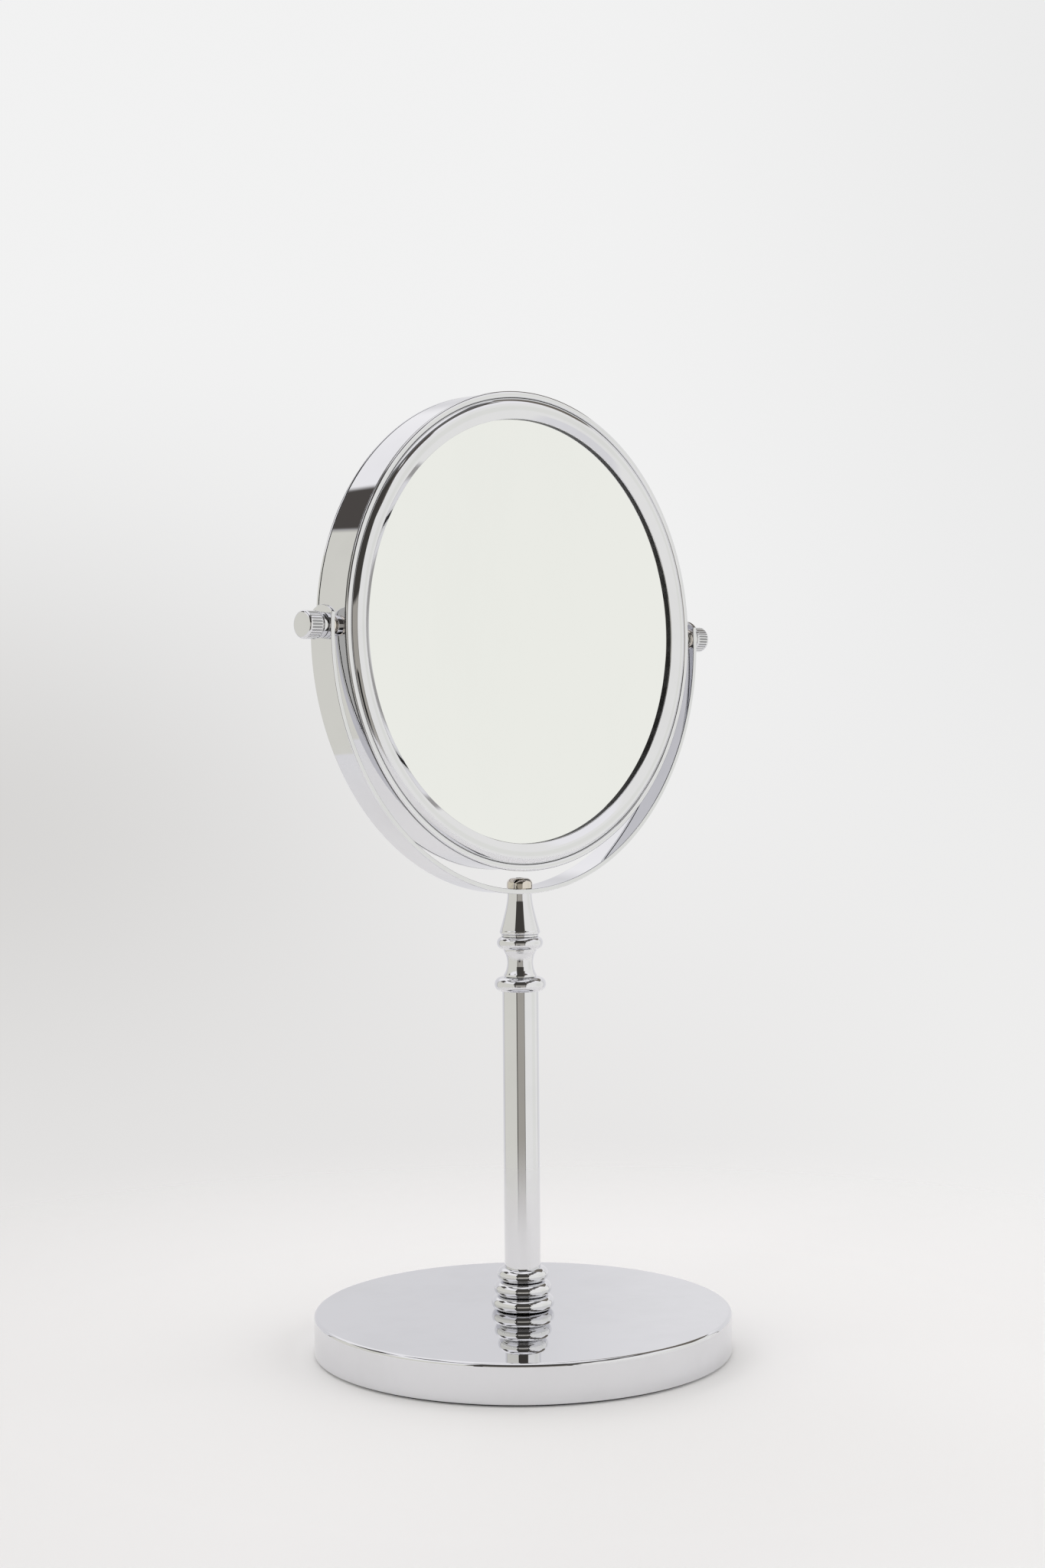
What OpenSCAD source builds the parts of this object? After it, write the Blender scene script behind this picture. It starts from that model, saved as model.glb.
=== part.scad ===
// Extendable shaving mirror: a round double-sided mirror hung in a bent strip yoke, on a
// two-part telescopic stem with turned rings and beads, over a weighted round base.
// Millimetres, +Z up. The origin is the centre of the underside of the base. The mirror
// tilts about an axis along X, and its plain glass faces -Y.

/* [Base] */
// Diameter of the base
base_d = 150; // [135:1:180]
// Height of the base, from the table to its flat top
base_h = 14.5; // [14:0.5:20]
// Radius of the rounded edge around the flat top
base_edge_r = 1.3; // [1:0.1:2]
// Wall of the pressed cover
cover_wall = 1; // [0.8:0.1:1.2]
// Thickness of the foam pad under the base
pad_t = 1.6; // [1.2:0.1:2]
// Height of the dark gap between the table and the cover's skirt
skirt_gap = 0.8; // [0.5:0.1:1]

/* [Stem] */
// Outer diameter of the fixed tube
tube_d = 13; // [12.5:0.5:15]
// Wall of the fixed tube
tube_wall = 1; // [0.8:0.1:1]
// Height from the base's top to the collar at the top of the tube
stem_h = 114.4; // [114:1:150]
// Height of each of the three rings at the foot
ring_h = 5.05; // [4.5:0.05:5.5]
// Diameters of the three rings, from the base up
ring_d = [22.6, 20.7, 18.2]; // [18:0.1:26]
// Diameter of the sliding rod
rod_d = 9.6; // [9.4:0.1:9.8]
// How far the rod draws out
travel = 65; // [40:1:65]

/* [Finial] */
// Diameter of the large bead that collars the top of the tube
collar_d = 18.5; // [17:0.1:21]
// Height of that bead
collar_h = 5.1; // [4.8:0.1:6]
// Height of the waisted neck
neck_h = 9.8; // [9:0.1:12]
// Diameter of the neck at its two ends
neck_end_d = 11.8; // [11.4:0.1:12.4]
// Diameter of the neck at its waist
neck_waist_d = 9.3; // [8.6:0.1:10]
// Diameter of the small bead on the neck
bead_d = 16.6; // [15:0.1:18]
// Height of the small bead
bead_h = 4.6; // [4:0.1:5]
// Height of the flared cone under the yoke
cone_h = 14.7; // [13:0.1:18]
// Diameter of the cone's rolled lip
cone_lip_d = 14.6; // [14:0.1:16]
// Diameter of the cone's upper end
cone_top_d = 8.7; // [8.2:0.1:9.4]

/* [Yoke] */
// Outer diameter of the bent strip
yoke_d = 182; // [181:1:186]
// Thickness of the strip
yoke_t = 1.7; // [1.4:0.1:1.8]
// Width of the strip
yoke_w = 10.8; // [10:0.1:12]
// Radius of the strip's rounded tips, about the pivot
yoke_tip_r = 6.9; // [6.4:0.1:7.4]
// Height of the pivot over the centre of the strip's bend
pivot_rise = 2.4; // [1:0.1:4]

/* [Mirror head] */
// Outer diameter of the frame
frame_d = 170; // [169.4:0.2:170]
// Depth of the flat band of the frame
band_depth = 15.2; // [15:0.2:18]
// Wall of the band
band_wall = 0.8; // [0.6:0.1:0.8]
// How far the band's middle lies behind the pivot
head_setback = 1.7; // [0:0.1:1.8]
// Width of the small round bead along the band's edge
rim_bead_w = 2.3; // [2.1:0.1:2.5]
// How far that bead stands out of the frame's face
rim_bead_rise = 0.75; // [0.6:0.05:1]
// Radius of the wide bezel's crown
crown_r = 4; // [3.8:0.1:4.2]
// Angle at which the crown rises out of the groove
crown_rise_a = 61; // [56:1:64]
// Angle at which it falls to the lip that holds the glass
crown_fall_a = 28; // [24:1:30]
// Depth of the glass below the band's edge
glass_recess = 0.95; // [0.8:0.05:1]
// Diameter of the glass that shows
view_d = 150.8; // [150:0.1:151.5]
// Thickness of each glass
glass_t = 3; // [2.5:0.1:3]
// Depth of the hollow of the magnifying glass
magnifier_sag = 3.4; // [2.4:0.1:3.6]

/* [Knobs] */
// Diameter of the fluted band of a knob
knob_d = 9.5; // [9:0.1:10.5]
// Length of a knob
knob_l = 8.05; // [8:0.05:9]
// Number of flutes around a knob
flutes = 28; // [20:2:32]
// Diameter of the pivot studs
stud_d = 4; // [3.6:0.1:4]
// Diameter of the spacers between frame and yoke
spacer_d = 7; // [6.4:0.1:7.4]

/* [Hidden] */
$fn = 144;

// Clearances
run_clear = 0.05;
press_gap = 0.02;
face_gap = 0.15;
stop_gap = 0.2;
eps = 0.01;

// Base stack, from the table up
base_r = base_d / 2;
cover_r_in = base_r - cover_wall;
cover_top_z = base_h - cover_wall;
weight_r = cover_r_in - 0.8;
weight_relief_r = [22, 60];
weight_relief_h = 5;
bolt_pocket_r = 11;
bolt_pocket_top_z = pad_t + 8;
flat_washer_t = 1.2;
lock_washer_t = 1.4;
bolt_r = 3;
bolt_af = 10;
bolt_head_h = 4;
bolt_head_top_z = bolt_pocket_top_z - flat_washer_t - lock_washer_t;
plug_h = 20;

// Stem levels
tube_r = tube_d / 2;
tube_bore_r = tube_r - tube_wall;
rod_r = rod_d / 2;
rod_wall = 0.8;
rod_bore_r = rod_r - rod_wall;
plug_top_z = base_h + plug_h;
collar_z = base_h + stem_h;
collar_top_z = collar_z + collar_h;
tube_top_z = collar_z + collar_h / 2;
bush_l = 12;
bush_flange_t = 0.8;
sleeve_h = 14;
retainer_t = 1;
foot_screw_head_h = 1.6;
sleeve_z = tube_top_z - bush_l - travel - sleeve_h - 1.5;
rod_foot_z = sleeve_z + sleeve_h + stop_gap;
spigot_r = 3.5;
spigot_z = sleeve_z - stop_gap;

// Finial levels
neck_z = collar_top_z + stop_gap;
bead_z = neck_z + neck_h;
step_z = bead_z + bead_h;
step_h = 0.7;
step_r = 6.7;
cone_z = step_z + step_h;
cone_top_z = cone_z + cone_h;
cone_lip_h = 1.8;
flare_slope = 0.32;
flare_round = 1.8;

// Yoke levels
yoke_r = yoke_d / 2;
yoke_r_in = yoke_r - yoke_t;
yoke_z = cone_top_z + yoke_r;
pivot_z = yoke_z + pivot_rise;
screw_r = 2.5;
screw_head_r = 4.6;
screw_head_h = 3.7;
screw_edge_r = 2.2;
screw_depth = 19;
screw_seat_z = cone_top_z + yoke_t + 0.12;

// Mirror head, measured forward of the pivot axis
frame_r = frame_d / 2;
band_r_in = frame_r - band_wall;
band_front = band_depth / 2 - head_setback;
band_rear = -band_depth / 2 - head_setback;
rim_lap = 0.2;
rim_drop = 0.5;
skirt_depth = 2.4;
skirt_wall = 0.8;
view_r = view_d / 2;
lip_w = 1;
glass_r = view_r + 2.6;
plain_front = band_front - glass_recess;
magnifier_front = band_rear + glass_recess;
board_t = 1.5;
board_front = plain_front - glass_t;
foam_r = [70, glass_r - 0.2];

// Pivots, measured outward along X
boss_out = frame_r + 1.1;
washer_t = 0.5;
washer_out = sqrt(pow(yoke_r_in, 2) - pow(pivot_rise + spacer_d / 2, 2)) - face_gap;
spacer_out = washer_out - washer_t;
knob_in = yoke_r + face_gap;
knob_out = knob_in + knob_l;
stud_r = stud_d / 2;
rivet_r = 3;
rivet_t = 0.8;
stud_out = knob_out - 2;

// Colours
chrome = [0.82, 0.83, 0.84];
silvered = [0.9, 0.92, 0.91];
iron = [0.3, 0.3, 0.31];
zinc = [0.62, 0.63, 0.65];
nylon = [0.88, 0.87, 0.83];
foam = [0.1, 0.1, 0.11];
fibre = [0.45, 0.34, 0.24];

// Points of an arc about c, from angle a0 to a1
function arc(c, r, a0, a1, n) =
    [for (i = [0:n]) let (a = a0 + (a1 - a0) * i / n) c + r * [cos(a), sin(a)]];

// Radius of an arc over a chord of half length c with the given rise
function arc_r(c, rise) = (c * c + rise * rise) / (2 * rise);

// Height of the hollow of the magnifying glass at radius r
function hollow(r) = magnifier_sag * (1 - pow(r / (view_r - 0.4), 2));

// A disc or pin with an optional bore, standing on height z
module round_bar(r, z, h, bore = 0) {
    translate([0, 0, z]) difference() {
        cylinder(r = r, h = h);
        if (bore > 0) {
            translate([0, 0, -1]) cylinder(r = bore, h = h + 2);
        }
    }
}

// A ring whose side is a full half round, standing on height z
module half_round_ring(r, z, h) {
    translate([0, 0, z]) rotate_extrude() {
        translate([r - h / 2, h / 2]) circle(h / 2);
        square([r - h / 2, h]);
    }
}

// Turns the head's own height axis forward, with its zero on the pivot axis
module facing() {
    translate([0, 0, pivot_z]) rotate([90, 0, 0]) children();
}

// Lays a part along the pivot axis, with its height running outward on the right
module along_pivot() {
    translate([0, 0, pivot_z]) rotate([0, 90, 0]) children();
}

// A ring or pin on the right pivot, from x = a to x = b
module pivot_bar(r, a, b, bore = 0) {
    along_pivot() round_bar(r, a, b - a, bore);
}

// The same part on the left pivot
module left() {
    mirror([1, 0, 0]) children();
}

module base_cover() {
    color(chrome) difference() {
        rotate_extrude() {
            translate([base_r - base_edge_r, base_h - base_edge_r]) circle(base_edge_r);
            translate([0, skirt_gap]) square([base_r, base_h - base_edge_r - skirt_gap]);
            translate([0, skirt_gap]) square([base_r - base_edge_r, base_h - skirt_gap]);
        }
        cylinder(r = cover_r_in, h = cover_top_z);
        cylinder(r = bolt_r + 0.3, h = base_h + 1);
    }
}

module base_weight() {
    color(iron) difference() {
        round_bar(weight_r, pad_t, cover_top_z - pad_t, bolt_r + 0.4);
        translate([0, 0, pad_t - 1]) cylinder(r = bolt_pocket_r, h = bolt_pocket_top_z - pad_t + 1);
        translate([0, 0, pad_t - 1]) difference() {
            cylinder(r = weight_relief_r[1], h = weight_relief_h + 1);
            cylinder(r = weight_relief_r[0], h = weight_relief_h + 2);
        }
    }
}

module base_pad() {
    color(foam) round_bar(cover_r_in - 0.6, 0, pad_t);
}

module base_bolt() {
    color(zinc) {
        translate([0, 0, bolt_head_top_z - bolt_head_h])
            cylinder(d = bolt_af / cos(30), h = bolt_head_h, $fn = 6);
        round_bar(bolt_r, bolt_head_top_z - eps, plug_top_z - 3 - bolt_head_top_z);
    }
}

module lock_washer() {
    color(zinc) difference() {
        round_bar(5.2, bolt_head_top_z, lock_washer_t, bolt_r + 0.1);
        translate([0, -0.6, bolt_head_top_z - 1]) cube([8, 1.2, lock_washer_t + 2]);
    }
}

module flat_washer() {
    color(zinc) round_bar(9, bolt_pocket_top_z - flat_washer_t, flat_washer_t, bolt_r + 0.2);
}

module foot_rings() {
    color(chrome) difference() {
        union() {
            for (i = [0:2]) {
                half_round_ring(ring_d[i] / 2, base_h + i * ring_h, ring_h);
            }
        }
        translate([0, 0, base_h - 1]) cylinder(r = tube_r, h = 3 * ring_h + 2);
    }
}

module stem_tube() {
    color(chrome) round_bar(tube_r, base_h, tube_top_z - base_h, tube_bore_r);
}

module tube_plug() {
    color(zinc) round_bar(tube_bore_r, base_h, plug_h, bolt_r);
}

module tube_collar() {
    color(chrome) difference() {
        half_round_ring(collar_d / 2, collar_z, collar_h);
        translate([0, 0, collar_z - 1]) cylinder(r = tube_r, h = tube_top_z + bush_flange_t - collar_z + 1);
        translate([0, 0, collar_z]) cylinder(r = rod_r + 0.3, h = collar_h + 1);
    }
}

module guide_bush() {
    color(nylon) difference() {
        union() {
            round_bar(tube_bore_r, tube_top_z - bush_l, bush_l + eps);
            round_bar(tube_r - 0.1, tube_top_z, bush_flange_t);
        }
        translate([0, 0, tube_top_z - bush_l - 1]) cylinder(r = rod_r + run_clear, h = bush_l + 3);
    }
}

module friction_sleeve() {
    color(nylon) difference() {
        round_bar(tube_bore_r - run_clear, sleeve_z, sleeve_h, spigot_r + run_clear);
        translate([0, -0.75, sleeve_z - 1]) cube([tube_r, 1.5, sleeve_h + 2]);
    }
}

module inner_rod() {
    color(chrome) round_bar(rod_r, rod_foot_z, neck_z - rod_foot_z, rod_bore_r);
}

module rod_foot_plug() {
    color(zinc) difference() {
        union() {
            round_bar(spigot_r, spigot_z, rod_foot_z - spigot_z + eps);
            round_bar(rod_bore_r, rod_foot_z, 9);
        }
        translate([0, 0, spigot_z - 1]) cylinder(r = 1.5, h = 15);
    }
}

module sleeve_retainer() {
    color(zinc) round_bar(rod_r, spigot_z - retainer_t, retainer_t, 1.6);
}

module rod_end_screw() {
    color(zinc) {
        round_bar(2.8, spigot_z - retainer_t - foot_screw_head_h, foot_screw_head_h);
        round_bar(1.5, spigot_z - retainer_t - eps, 10);
    }
}

module neck_finial() {
    waist_r = neck_waist_d / 2;
    land = 0.6;
    bend_r = arc_r(neck_h / 2 - land, neck_end_d / 2 - waist_r);
    color(chrome) difference() {
        union() {
            difference() {
                round_bar(neck_end_d / 2, neck_z, neck_h + eps);
                translate([0, 0, neck_z + neck_h / 2]) rotate_extrude()
                    translate([waist_r + bend_r, 0]) circle(bend_r);
            }
            half_round_ring(bead_d / 2, bead_z, bead_h);
            round_bar(step_r, step_z - eps, step_h + eps);
            round_bar(rod_bore_r - press_gap, neck_z - 14, 14 + eps);
        }
        translate([0, 0, screw_seat_z - screw_depth - 1]) cylinder(r = screw_r, h = screw_depth + 2);
    }
}

module cone_cap() {
    lip_r = cone_lip_d / 2;
    top_r = cone_top_d / 2;
    flare_z = cone_lip_h * 0.8;
    flare = [for (i = [0:16]) let (h = flare_z + (cone_h - flare_z) * i / 16)
        [top_r + norm([flare_round, flare_slope * (cone_h - h)]) - flare_round, h]];
    color(chrome) translate([0, 0, cone_z]) difference() {
        union() {
            half_round_ring(lip_r, 0, cone_lip_h);
            rotate_extrude() polygon(concat([[0, cone_h], [0, flare_z]], flare));
        }
        translate([0, 0, -1]) cylinder(r = screw_r + 0.1, h = cone_h + 2);
    }
}

module yoke() {
    color(chrome) difference() {
        intersection() {
            translate([0, 0, yoke_z]) rotate([90, 0, 0]) linear_extrude(yoke_w, center = true) difference() {
                circle(yoke_r);
                circle(yoke_r_in);
            }
            union() {
                translate([-yoke_r - 1, -yoke_w, cone_top_z - 1])
                    cube([yoke_d + 2, 2 * yoke_w, pivot_z - cone_top_z + 1]);
                translate([-yoke_r - 1, 0, 0]) pivot_bar(yoke_tip_r, 0, yoke_d + 2);
            }
        }
        translate([-yoke_r - 1, 0, 0]) pivot_bar(stud_r + 0.08, 0, yoke_d + 2);
        round_bar(screw_r + 0.1, cone_top_z - 1, 4);
    }
}

module yoke_screw() {
    color(chrome) difference() {
        union() {
            translate([0, 0, screw_seat_z]) rotate_extrude() {
                square([screw_head_r, screw_head_h - screw_edge_r]);
                translate([screw_head_r - screw_edge_r, screw_head_h - screw_edge_r]) intersection() {
                    circle(screw_edge_r);
                    square(screw_edge_r);
                }
                square([screw_head_r - screw_edge_r, screw_head_h]);
            }
            round_bar(screw_r, screw_seat_z - screw_depth, screw_depth + eps);
        }
        translate([0, 0, screw_seat_z + screw_head_h - 2]) cylinder(r = 1.7, h = 3, $fn = 6);
    }
}

module frame_band() {
    color(chrome) difference() {
        facing() round_bar(frame_r, band_rear + rim_drop, band_depth - 2 * rim_drop, band_r_in);
        translate([-frame_r - 1, 0, 0]) pivot_bar(stud_r, 0, frame_d + 2);
    }
}

// Section of a bezel: radius, and height out of the frame's face. A round bead laps over the
// band's edge. After a groove comes the crown, an arc that rises steeply and falls on a flat
// slope to the lip that holds the glass.
module bezel() {
    bead_r = rim_bead_w / 2;
    bead_c = [frame_r + rim_lap - bead_r, 0];
    roll = arc(bead_c, bead_r, -asin(rim_drop / bead_r), 178, 12);
    bead = [for (p = roll) [p[0], p[1] > 0 ? p[1] * rim_bead_rise / bead_r : p[1]]];
    crown_c = [bead_c[0] - bead_r - crown_r * sin(crown_rise_a), -crown_r * cos(crown_rise_a)];
    fall = crown_c + crown_r * [-sin(crown_fall_a), cos(crown_fall_a)];
    lip = [view_r, fall[1] - (fall[0] - view_r) * tan(crown_fall_a)];
    rotate_extrude() polygon(concat(
        [[band_r_in, -skirt_depth], [band_r_in, -rim_drop]],
        bead,
        arc(crown_c, crown_r, 90 - crown_rise_a, 90 + crown_fall_a, 16),
        [lip, [view_r, -glass_recess], [view_r + lip_w, -glass_recess], [view_r + lip_w, -0.35],
         [view_r + 6.1, -0.35], [view_r + 6.9, -0.9], [band_r_in - skirt_wall, -0.9],
         [band_r_in - skirt_wall, -skirt_depth]]));
}

module front_bezel() {
    color(chrome) facing() translate([0, 0, band_front]) bezel();
}

module rear_bezel() {
    color(chrome) facing() translate([0, 0, band_rear]) mirror([0, 0, 1]) bezel();
}

module plain_mirror() {
    color(silvered) facing() round_bar(glass_r, plain_front - glass_t, glass_t);
}

// The rear glass is pressed hollow, with a flat rim under the lip of its bezel
module magnifying_mirror() {
    rim_r = view_r - 0.4;
    steps = 20;
    face = [for (i = [0:steps]) let (r = rim_r * i / steps) [r, hollow(r)]];
    back = [for (i = [steps:-1:0]) let (r = rim_r * i / steps) [r, hollow(r) + glass_t]];
    color(silvered) facing() translate([0, 0, magnifier_front]) rotate_extrude()
        polygon(concat(face, [[glass_r, 0], [glass_r, glass_t]], back));
}

module backing_board() {
    color(fibre) facing() round_bar(glass_r - 0.5, board_front - board_t, board_t);
}

module foam_ring() {
    foam_rear = magnifier_front + glass_t + hollow(foam_r[0]);
    color(foam) facing() round_bar(foam_r[1], foam_rear, board_front - board_t - foam_rear, foam_r[0]);
}

module right_boss() {
    color(chrome) pivot_bar(spacer_d / 2, frame_r, boss_out, stud_r);
}

module left_boss() {
    left() right_boss();
}

// A bead whose side is one round arc between two flat ends
module right_spacer() {
    length = spacer_out - boss_out;
    bulge = 0.8;
    side_r = arc_r(length / 2, bulge);
    side = arc([spacer_d / 2 - side_r, length / 2], side_r, -asin(length / 2 / side_r),
        asin(length / 2 / side_r), 12);
    color(chrome) along_pivot() translate([0, 0, boss_out]) difference() {
        rotate_extrude() polygon(concat([[0, 0]], side, [[0, length]]));
        translate([0, 0, -1]) cylinder(r = stud_r, h = length + 2);
    }
}

module left_spacer() {
    left() right_spacer();
}

module right_washer() {
    color(nylon) pivot_bar(spacer_d / 2 - 0.3, spacer_out, washer_out, stud_r);
}

module left_washer() {
    left() right_washer();
}

// A stud with a riveted head inside the band and a plain end for the knob
module right_stud() {
    color(zinc) {
        pivot_bar(rivet_r, band_r_in - 0.1 - rivet_t, band_r_in - 0.1);
        pivot_bar(stud_r, band_r_in - 0.1 - eps, stud_out);
    }
}

module left_stud() {
    left() right_stud();
}

// A collar against the yoke, a thin ring, a groove, then the fluted band with its crowned end
module right_knob() {
    knob_r = knob_d / 2;
    crown_r = 1.1;
    flute_in = 2;
    flute_out = knob_l - crown_r - 0.1;
    collar_r = knob_r - 0.35;
    ring_r = knob_r - 0.15;
    groove_r = knob_r - 0.45;
    side = [[0, 0], [collar_r, 0], [collar_r, 1.5], [ring_r, 1.5], [ring_r, 1.8], [groove_r, 1.8],
        [groove_r, flute_in], [collar_r, flute_in], [knob_r, flute_in + 0.8]];
    crown = arc([knob_r - crown_r, knob_l - crown_r], crown_r, 0, 90, 8);
    color(chrome) along_pivot() translate([0, 0, knob_in]) difference() {
        rotate_extrude() polygon(concat(side, crown, [[0, knob_l]]));
        for (i = [0:flutes - 1]) {
            rotate(360 * i / flutes) translate([knob_r + 0.05, 0, flute_in - 0.1])
                cylinder(r = 0.33, h = flute_out - flute_in + 0.1, $fn = 24);
        }
        translate([0, 0, -1]) cylinder(r = stud_r + run_clear, h = stud_out - knob_in + 1.3);
    }
}

module left_knob() {
    left() right_knob();
}

base_cover();
base_weight();
base_pad();
base_bolt();
lock_washer();
flat_washer();
foot_rings();
stem_tube();
tube_plug();
tube_collar();
guide_bush();
friction_sleeve();
inner_rod();
rod_foot_plug();
sleeve_retainer();
rod_end_screw();
neck_finial();
cone_cap();
yoke();
yoke_screw();
frame_band();
front_bezel();
rear_bezel();
plain_mirror();
magnifying_mirror();
backing_board();
foam_ring();
left_boss();
right_boss();
left_spacer();
right_spacer();
left_washer();
right_washer();
left_stud();
right_stud();
left_knob();
right_knob();
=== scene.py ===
"""Looks of an extendable shaving mirror: chrome stem, yoke and frame, and two silvered glasses.

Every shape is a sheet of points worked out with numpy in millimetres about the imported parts'
own axes, and put into Blender in metres. The classes follow the order in which the mirror is
put together: base, stem, finial, yoke, head, pivots.
"""

import logging
from dataclasses import dataclass, field
from enum import Enum
from math import cos, pi, radians, sin
from typing import Any, Sequence

import bmesh
import bpy
import numpy as np
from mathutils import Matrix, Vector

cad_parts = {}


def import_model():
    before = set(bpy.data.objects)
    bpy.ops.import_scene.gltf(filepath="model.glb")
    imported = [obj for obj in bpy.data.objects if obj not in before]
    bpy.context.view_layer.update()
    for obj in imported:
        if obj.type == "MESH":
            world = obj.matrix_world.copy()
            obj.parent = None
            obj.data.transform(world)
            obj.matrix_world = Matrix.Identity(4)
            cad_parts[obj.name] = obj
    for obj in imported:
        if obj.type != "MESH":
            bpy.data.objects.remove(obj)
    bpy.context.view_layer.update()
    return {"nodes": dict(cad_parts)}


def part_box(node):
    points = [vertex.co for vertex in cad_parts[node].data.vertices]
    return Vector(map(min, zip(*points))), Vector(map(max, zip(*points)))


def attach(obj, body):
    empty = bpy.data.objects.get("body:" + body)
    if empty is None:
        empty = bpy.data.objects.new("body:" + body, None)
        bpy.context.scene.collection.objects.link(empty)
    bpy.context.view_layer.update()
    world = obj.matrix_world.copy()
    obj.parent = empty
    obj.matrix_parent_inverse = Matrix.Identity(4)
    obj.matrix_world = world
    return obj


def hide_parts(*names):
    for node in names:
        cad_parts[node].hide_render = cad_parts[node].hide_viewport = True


LOG = logging.getLogger("shaving_mirror")
MM = 0.001
FINE = 256
CREASE = radians(34)

Array = np.ndarray
Socket = bpy.types.NodeSocket
Input = Socket | float | Sequence[float]
Tone = tuple[float, float, float, float]


class Side(Enum):
    """Which end of the pivot axis a part sits on, as the sign of its X."""

    LEFT = -1
    RIGHT = 1


class Face(Enum):
    """Which way a bezel or glass looks, as the sign of its distance forward of the pivot."""

    FRONT = 1
    REAR = -1


class Compass(Enum):
    """Where the studio's angles are counted from."""

    BACKDROP = 1
    CAMERA = -1


# ---- Outlines


def arc(centre: tuple[float, float], radius: float, start: float, end: float, steps: int) -> Array:
    """Points at even angles along a circle.

    Args:
        centre: Middle of the circle.
        radius: Its radius.
        start: First angle in degrees, counted from the first axis towards the second.
        end: Last angle in degrees.
        steps: Number of equal steps between the two.

    Returns:
        An array of steps + 1 points.
    """
    angle = np.radians(np.linspace(start, end, steps + 1))
    return np.array(centre) + radius * np.stack([np.cos(angle), np.sin(angle)], 1)


def bow_radius(half_chord: float, rise: float) -> float:
    """Radius of the circle whose arc rises by the given height over a chord."""
    return (half_chord**2 + rise**2) / (2 * rise)


def rounded(corners: Sequence[Sequence[float]], radii: Sequence[float] | float, steps: int = 6) -> Array:
    """Rounds the corners of a closed outline.

    At each corner the two edges leave along unit vectors u and v. The arc that touches both
    starts and ends radius x tan(half the turn) from the corner, and its centre lies along
    u + v. Its points are even turns about that centre. One more point is set a little way
    along each edge, which keeps the flat beside the arc flat when it is shaded smooth.

    Args:
        corners: Corner points in order.
        radii: Radius at each corner, or one for all. A corner of radius 0 stays one point.
        steps: Number of steps in each arc.

    Returns:
        The rounded outline, without repeated points.
    """
    points = np.array(corners, float)
    radius = np.broadcast_to(np.array(radii, float), len(points)).copy()
    back, ahead = np.roll(points, 1, 0) - points, np.roll(points, -1, 0) - points
    back_length, ahead_length = np.linalg.norm(back, axis=1), np.linalg.norm(ahead, axis=1)
    u, v = back / back_length[:, None], ahead / ahead_length[:, None]
    turn = pi - np.arccos(np.clip((u * v).sum(1), -1, 1))
    radius[turn < 1e-4] = 0
    reach = radius * np.tan(turn / 2)
    middle = (u + v) / np.maximum(np.linalg.norm(u + v, axis=1), 1e-9)[:, None]
    centre = points + middle * (radius / np.cos(turn / 2))[:, None]
    first = points + u * reach[:, None] - centre
    sweep = np.sign(u[:, 1] * v[:, 0] - u[:, 0] * v[:, 1]) * turn
    angle = np.arctan2(first[:, 1], first[:, 0])[:, None] + sweep[:, None] * np.linspace(0, 1, steps + 1)
    curve = centre[:, None] + radius[:, None, None] * np.stack([np.cos(angle), np.sin(angle)], 2)
    spare = 0.3 * radius
    before = points + u * np.minimum(reach + spare, 0.45 * back_length)[:, None]
    after = points + v * np.minimum(reach + spare, 0.45 * ahead_length)[:, None]
    eased = np.concatenate([before[:, None], curve, after[:, None]], 1)
    eased = np.where(radius[:, None, None] > 0, eased, points[:, None])
    outline = eased.reshape(-1, 2)
    kept = np.linalg.norm(outline - np.roll(outline, 1, 0), axis=1) > 1e-6
    return outline[kept]


def half_round(outer: float, low: float, height: float, steps: int = 24) -> Array:
    """Side of a half-round ring, from its lower to its upper end, as radius and level."""
    bend = height / 2
    return arc((outer - bend, low + bend), bend, -90, 90, steps)


# ---- Sheets of points


@dataclass
class Sheet:
    """A grid of points, and whether its rows and columns join up into rings."""

    points: Array
    rows_join: bool = True
    columns_join: bool = True

    def quads(self, first: int) -> Array:
        """Corners of the grid's faces.

        The point in row r and column c has number first + r x columns + c, and each face
        takes a point, its neighbour along the row, and the same two of the next row.

        Args:
            first: Number of the grid's first point in the mesh.

        Returns:
            One row of four point numbers for each face.
        """
        rows, columns = self.points.shape[:2]
        row = np.arange(rows if self.rows_join else rows - 1)[:, None]
        column = np.arange(columns if self.columns_join else columns - 1)[None, :]
        next_row, next_column = (row + 1) % rows, (column + 1) % columns
        corners = [row * columns + column, row * columns + next_column]
        corners += [next_row * columns + next_column, next_row * columns + column]
        return first + np.stack([corner.ravel() for corner in corners], 1)


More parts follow.
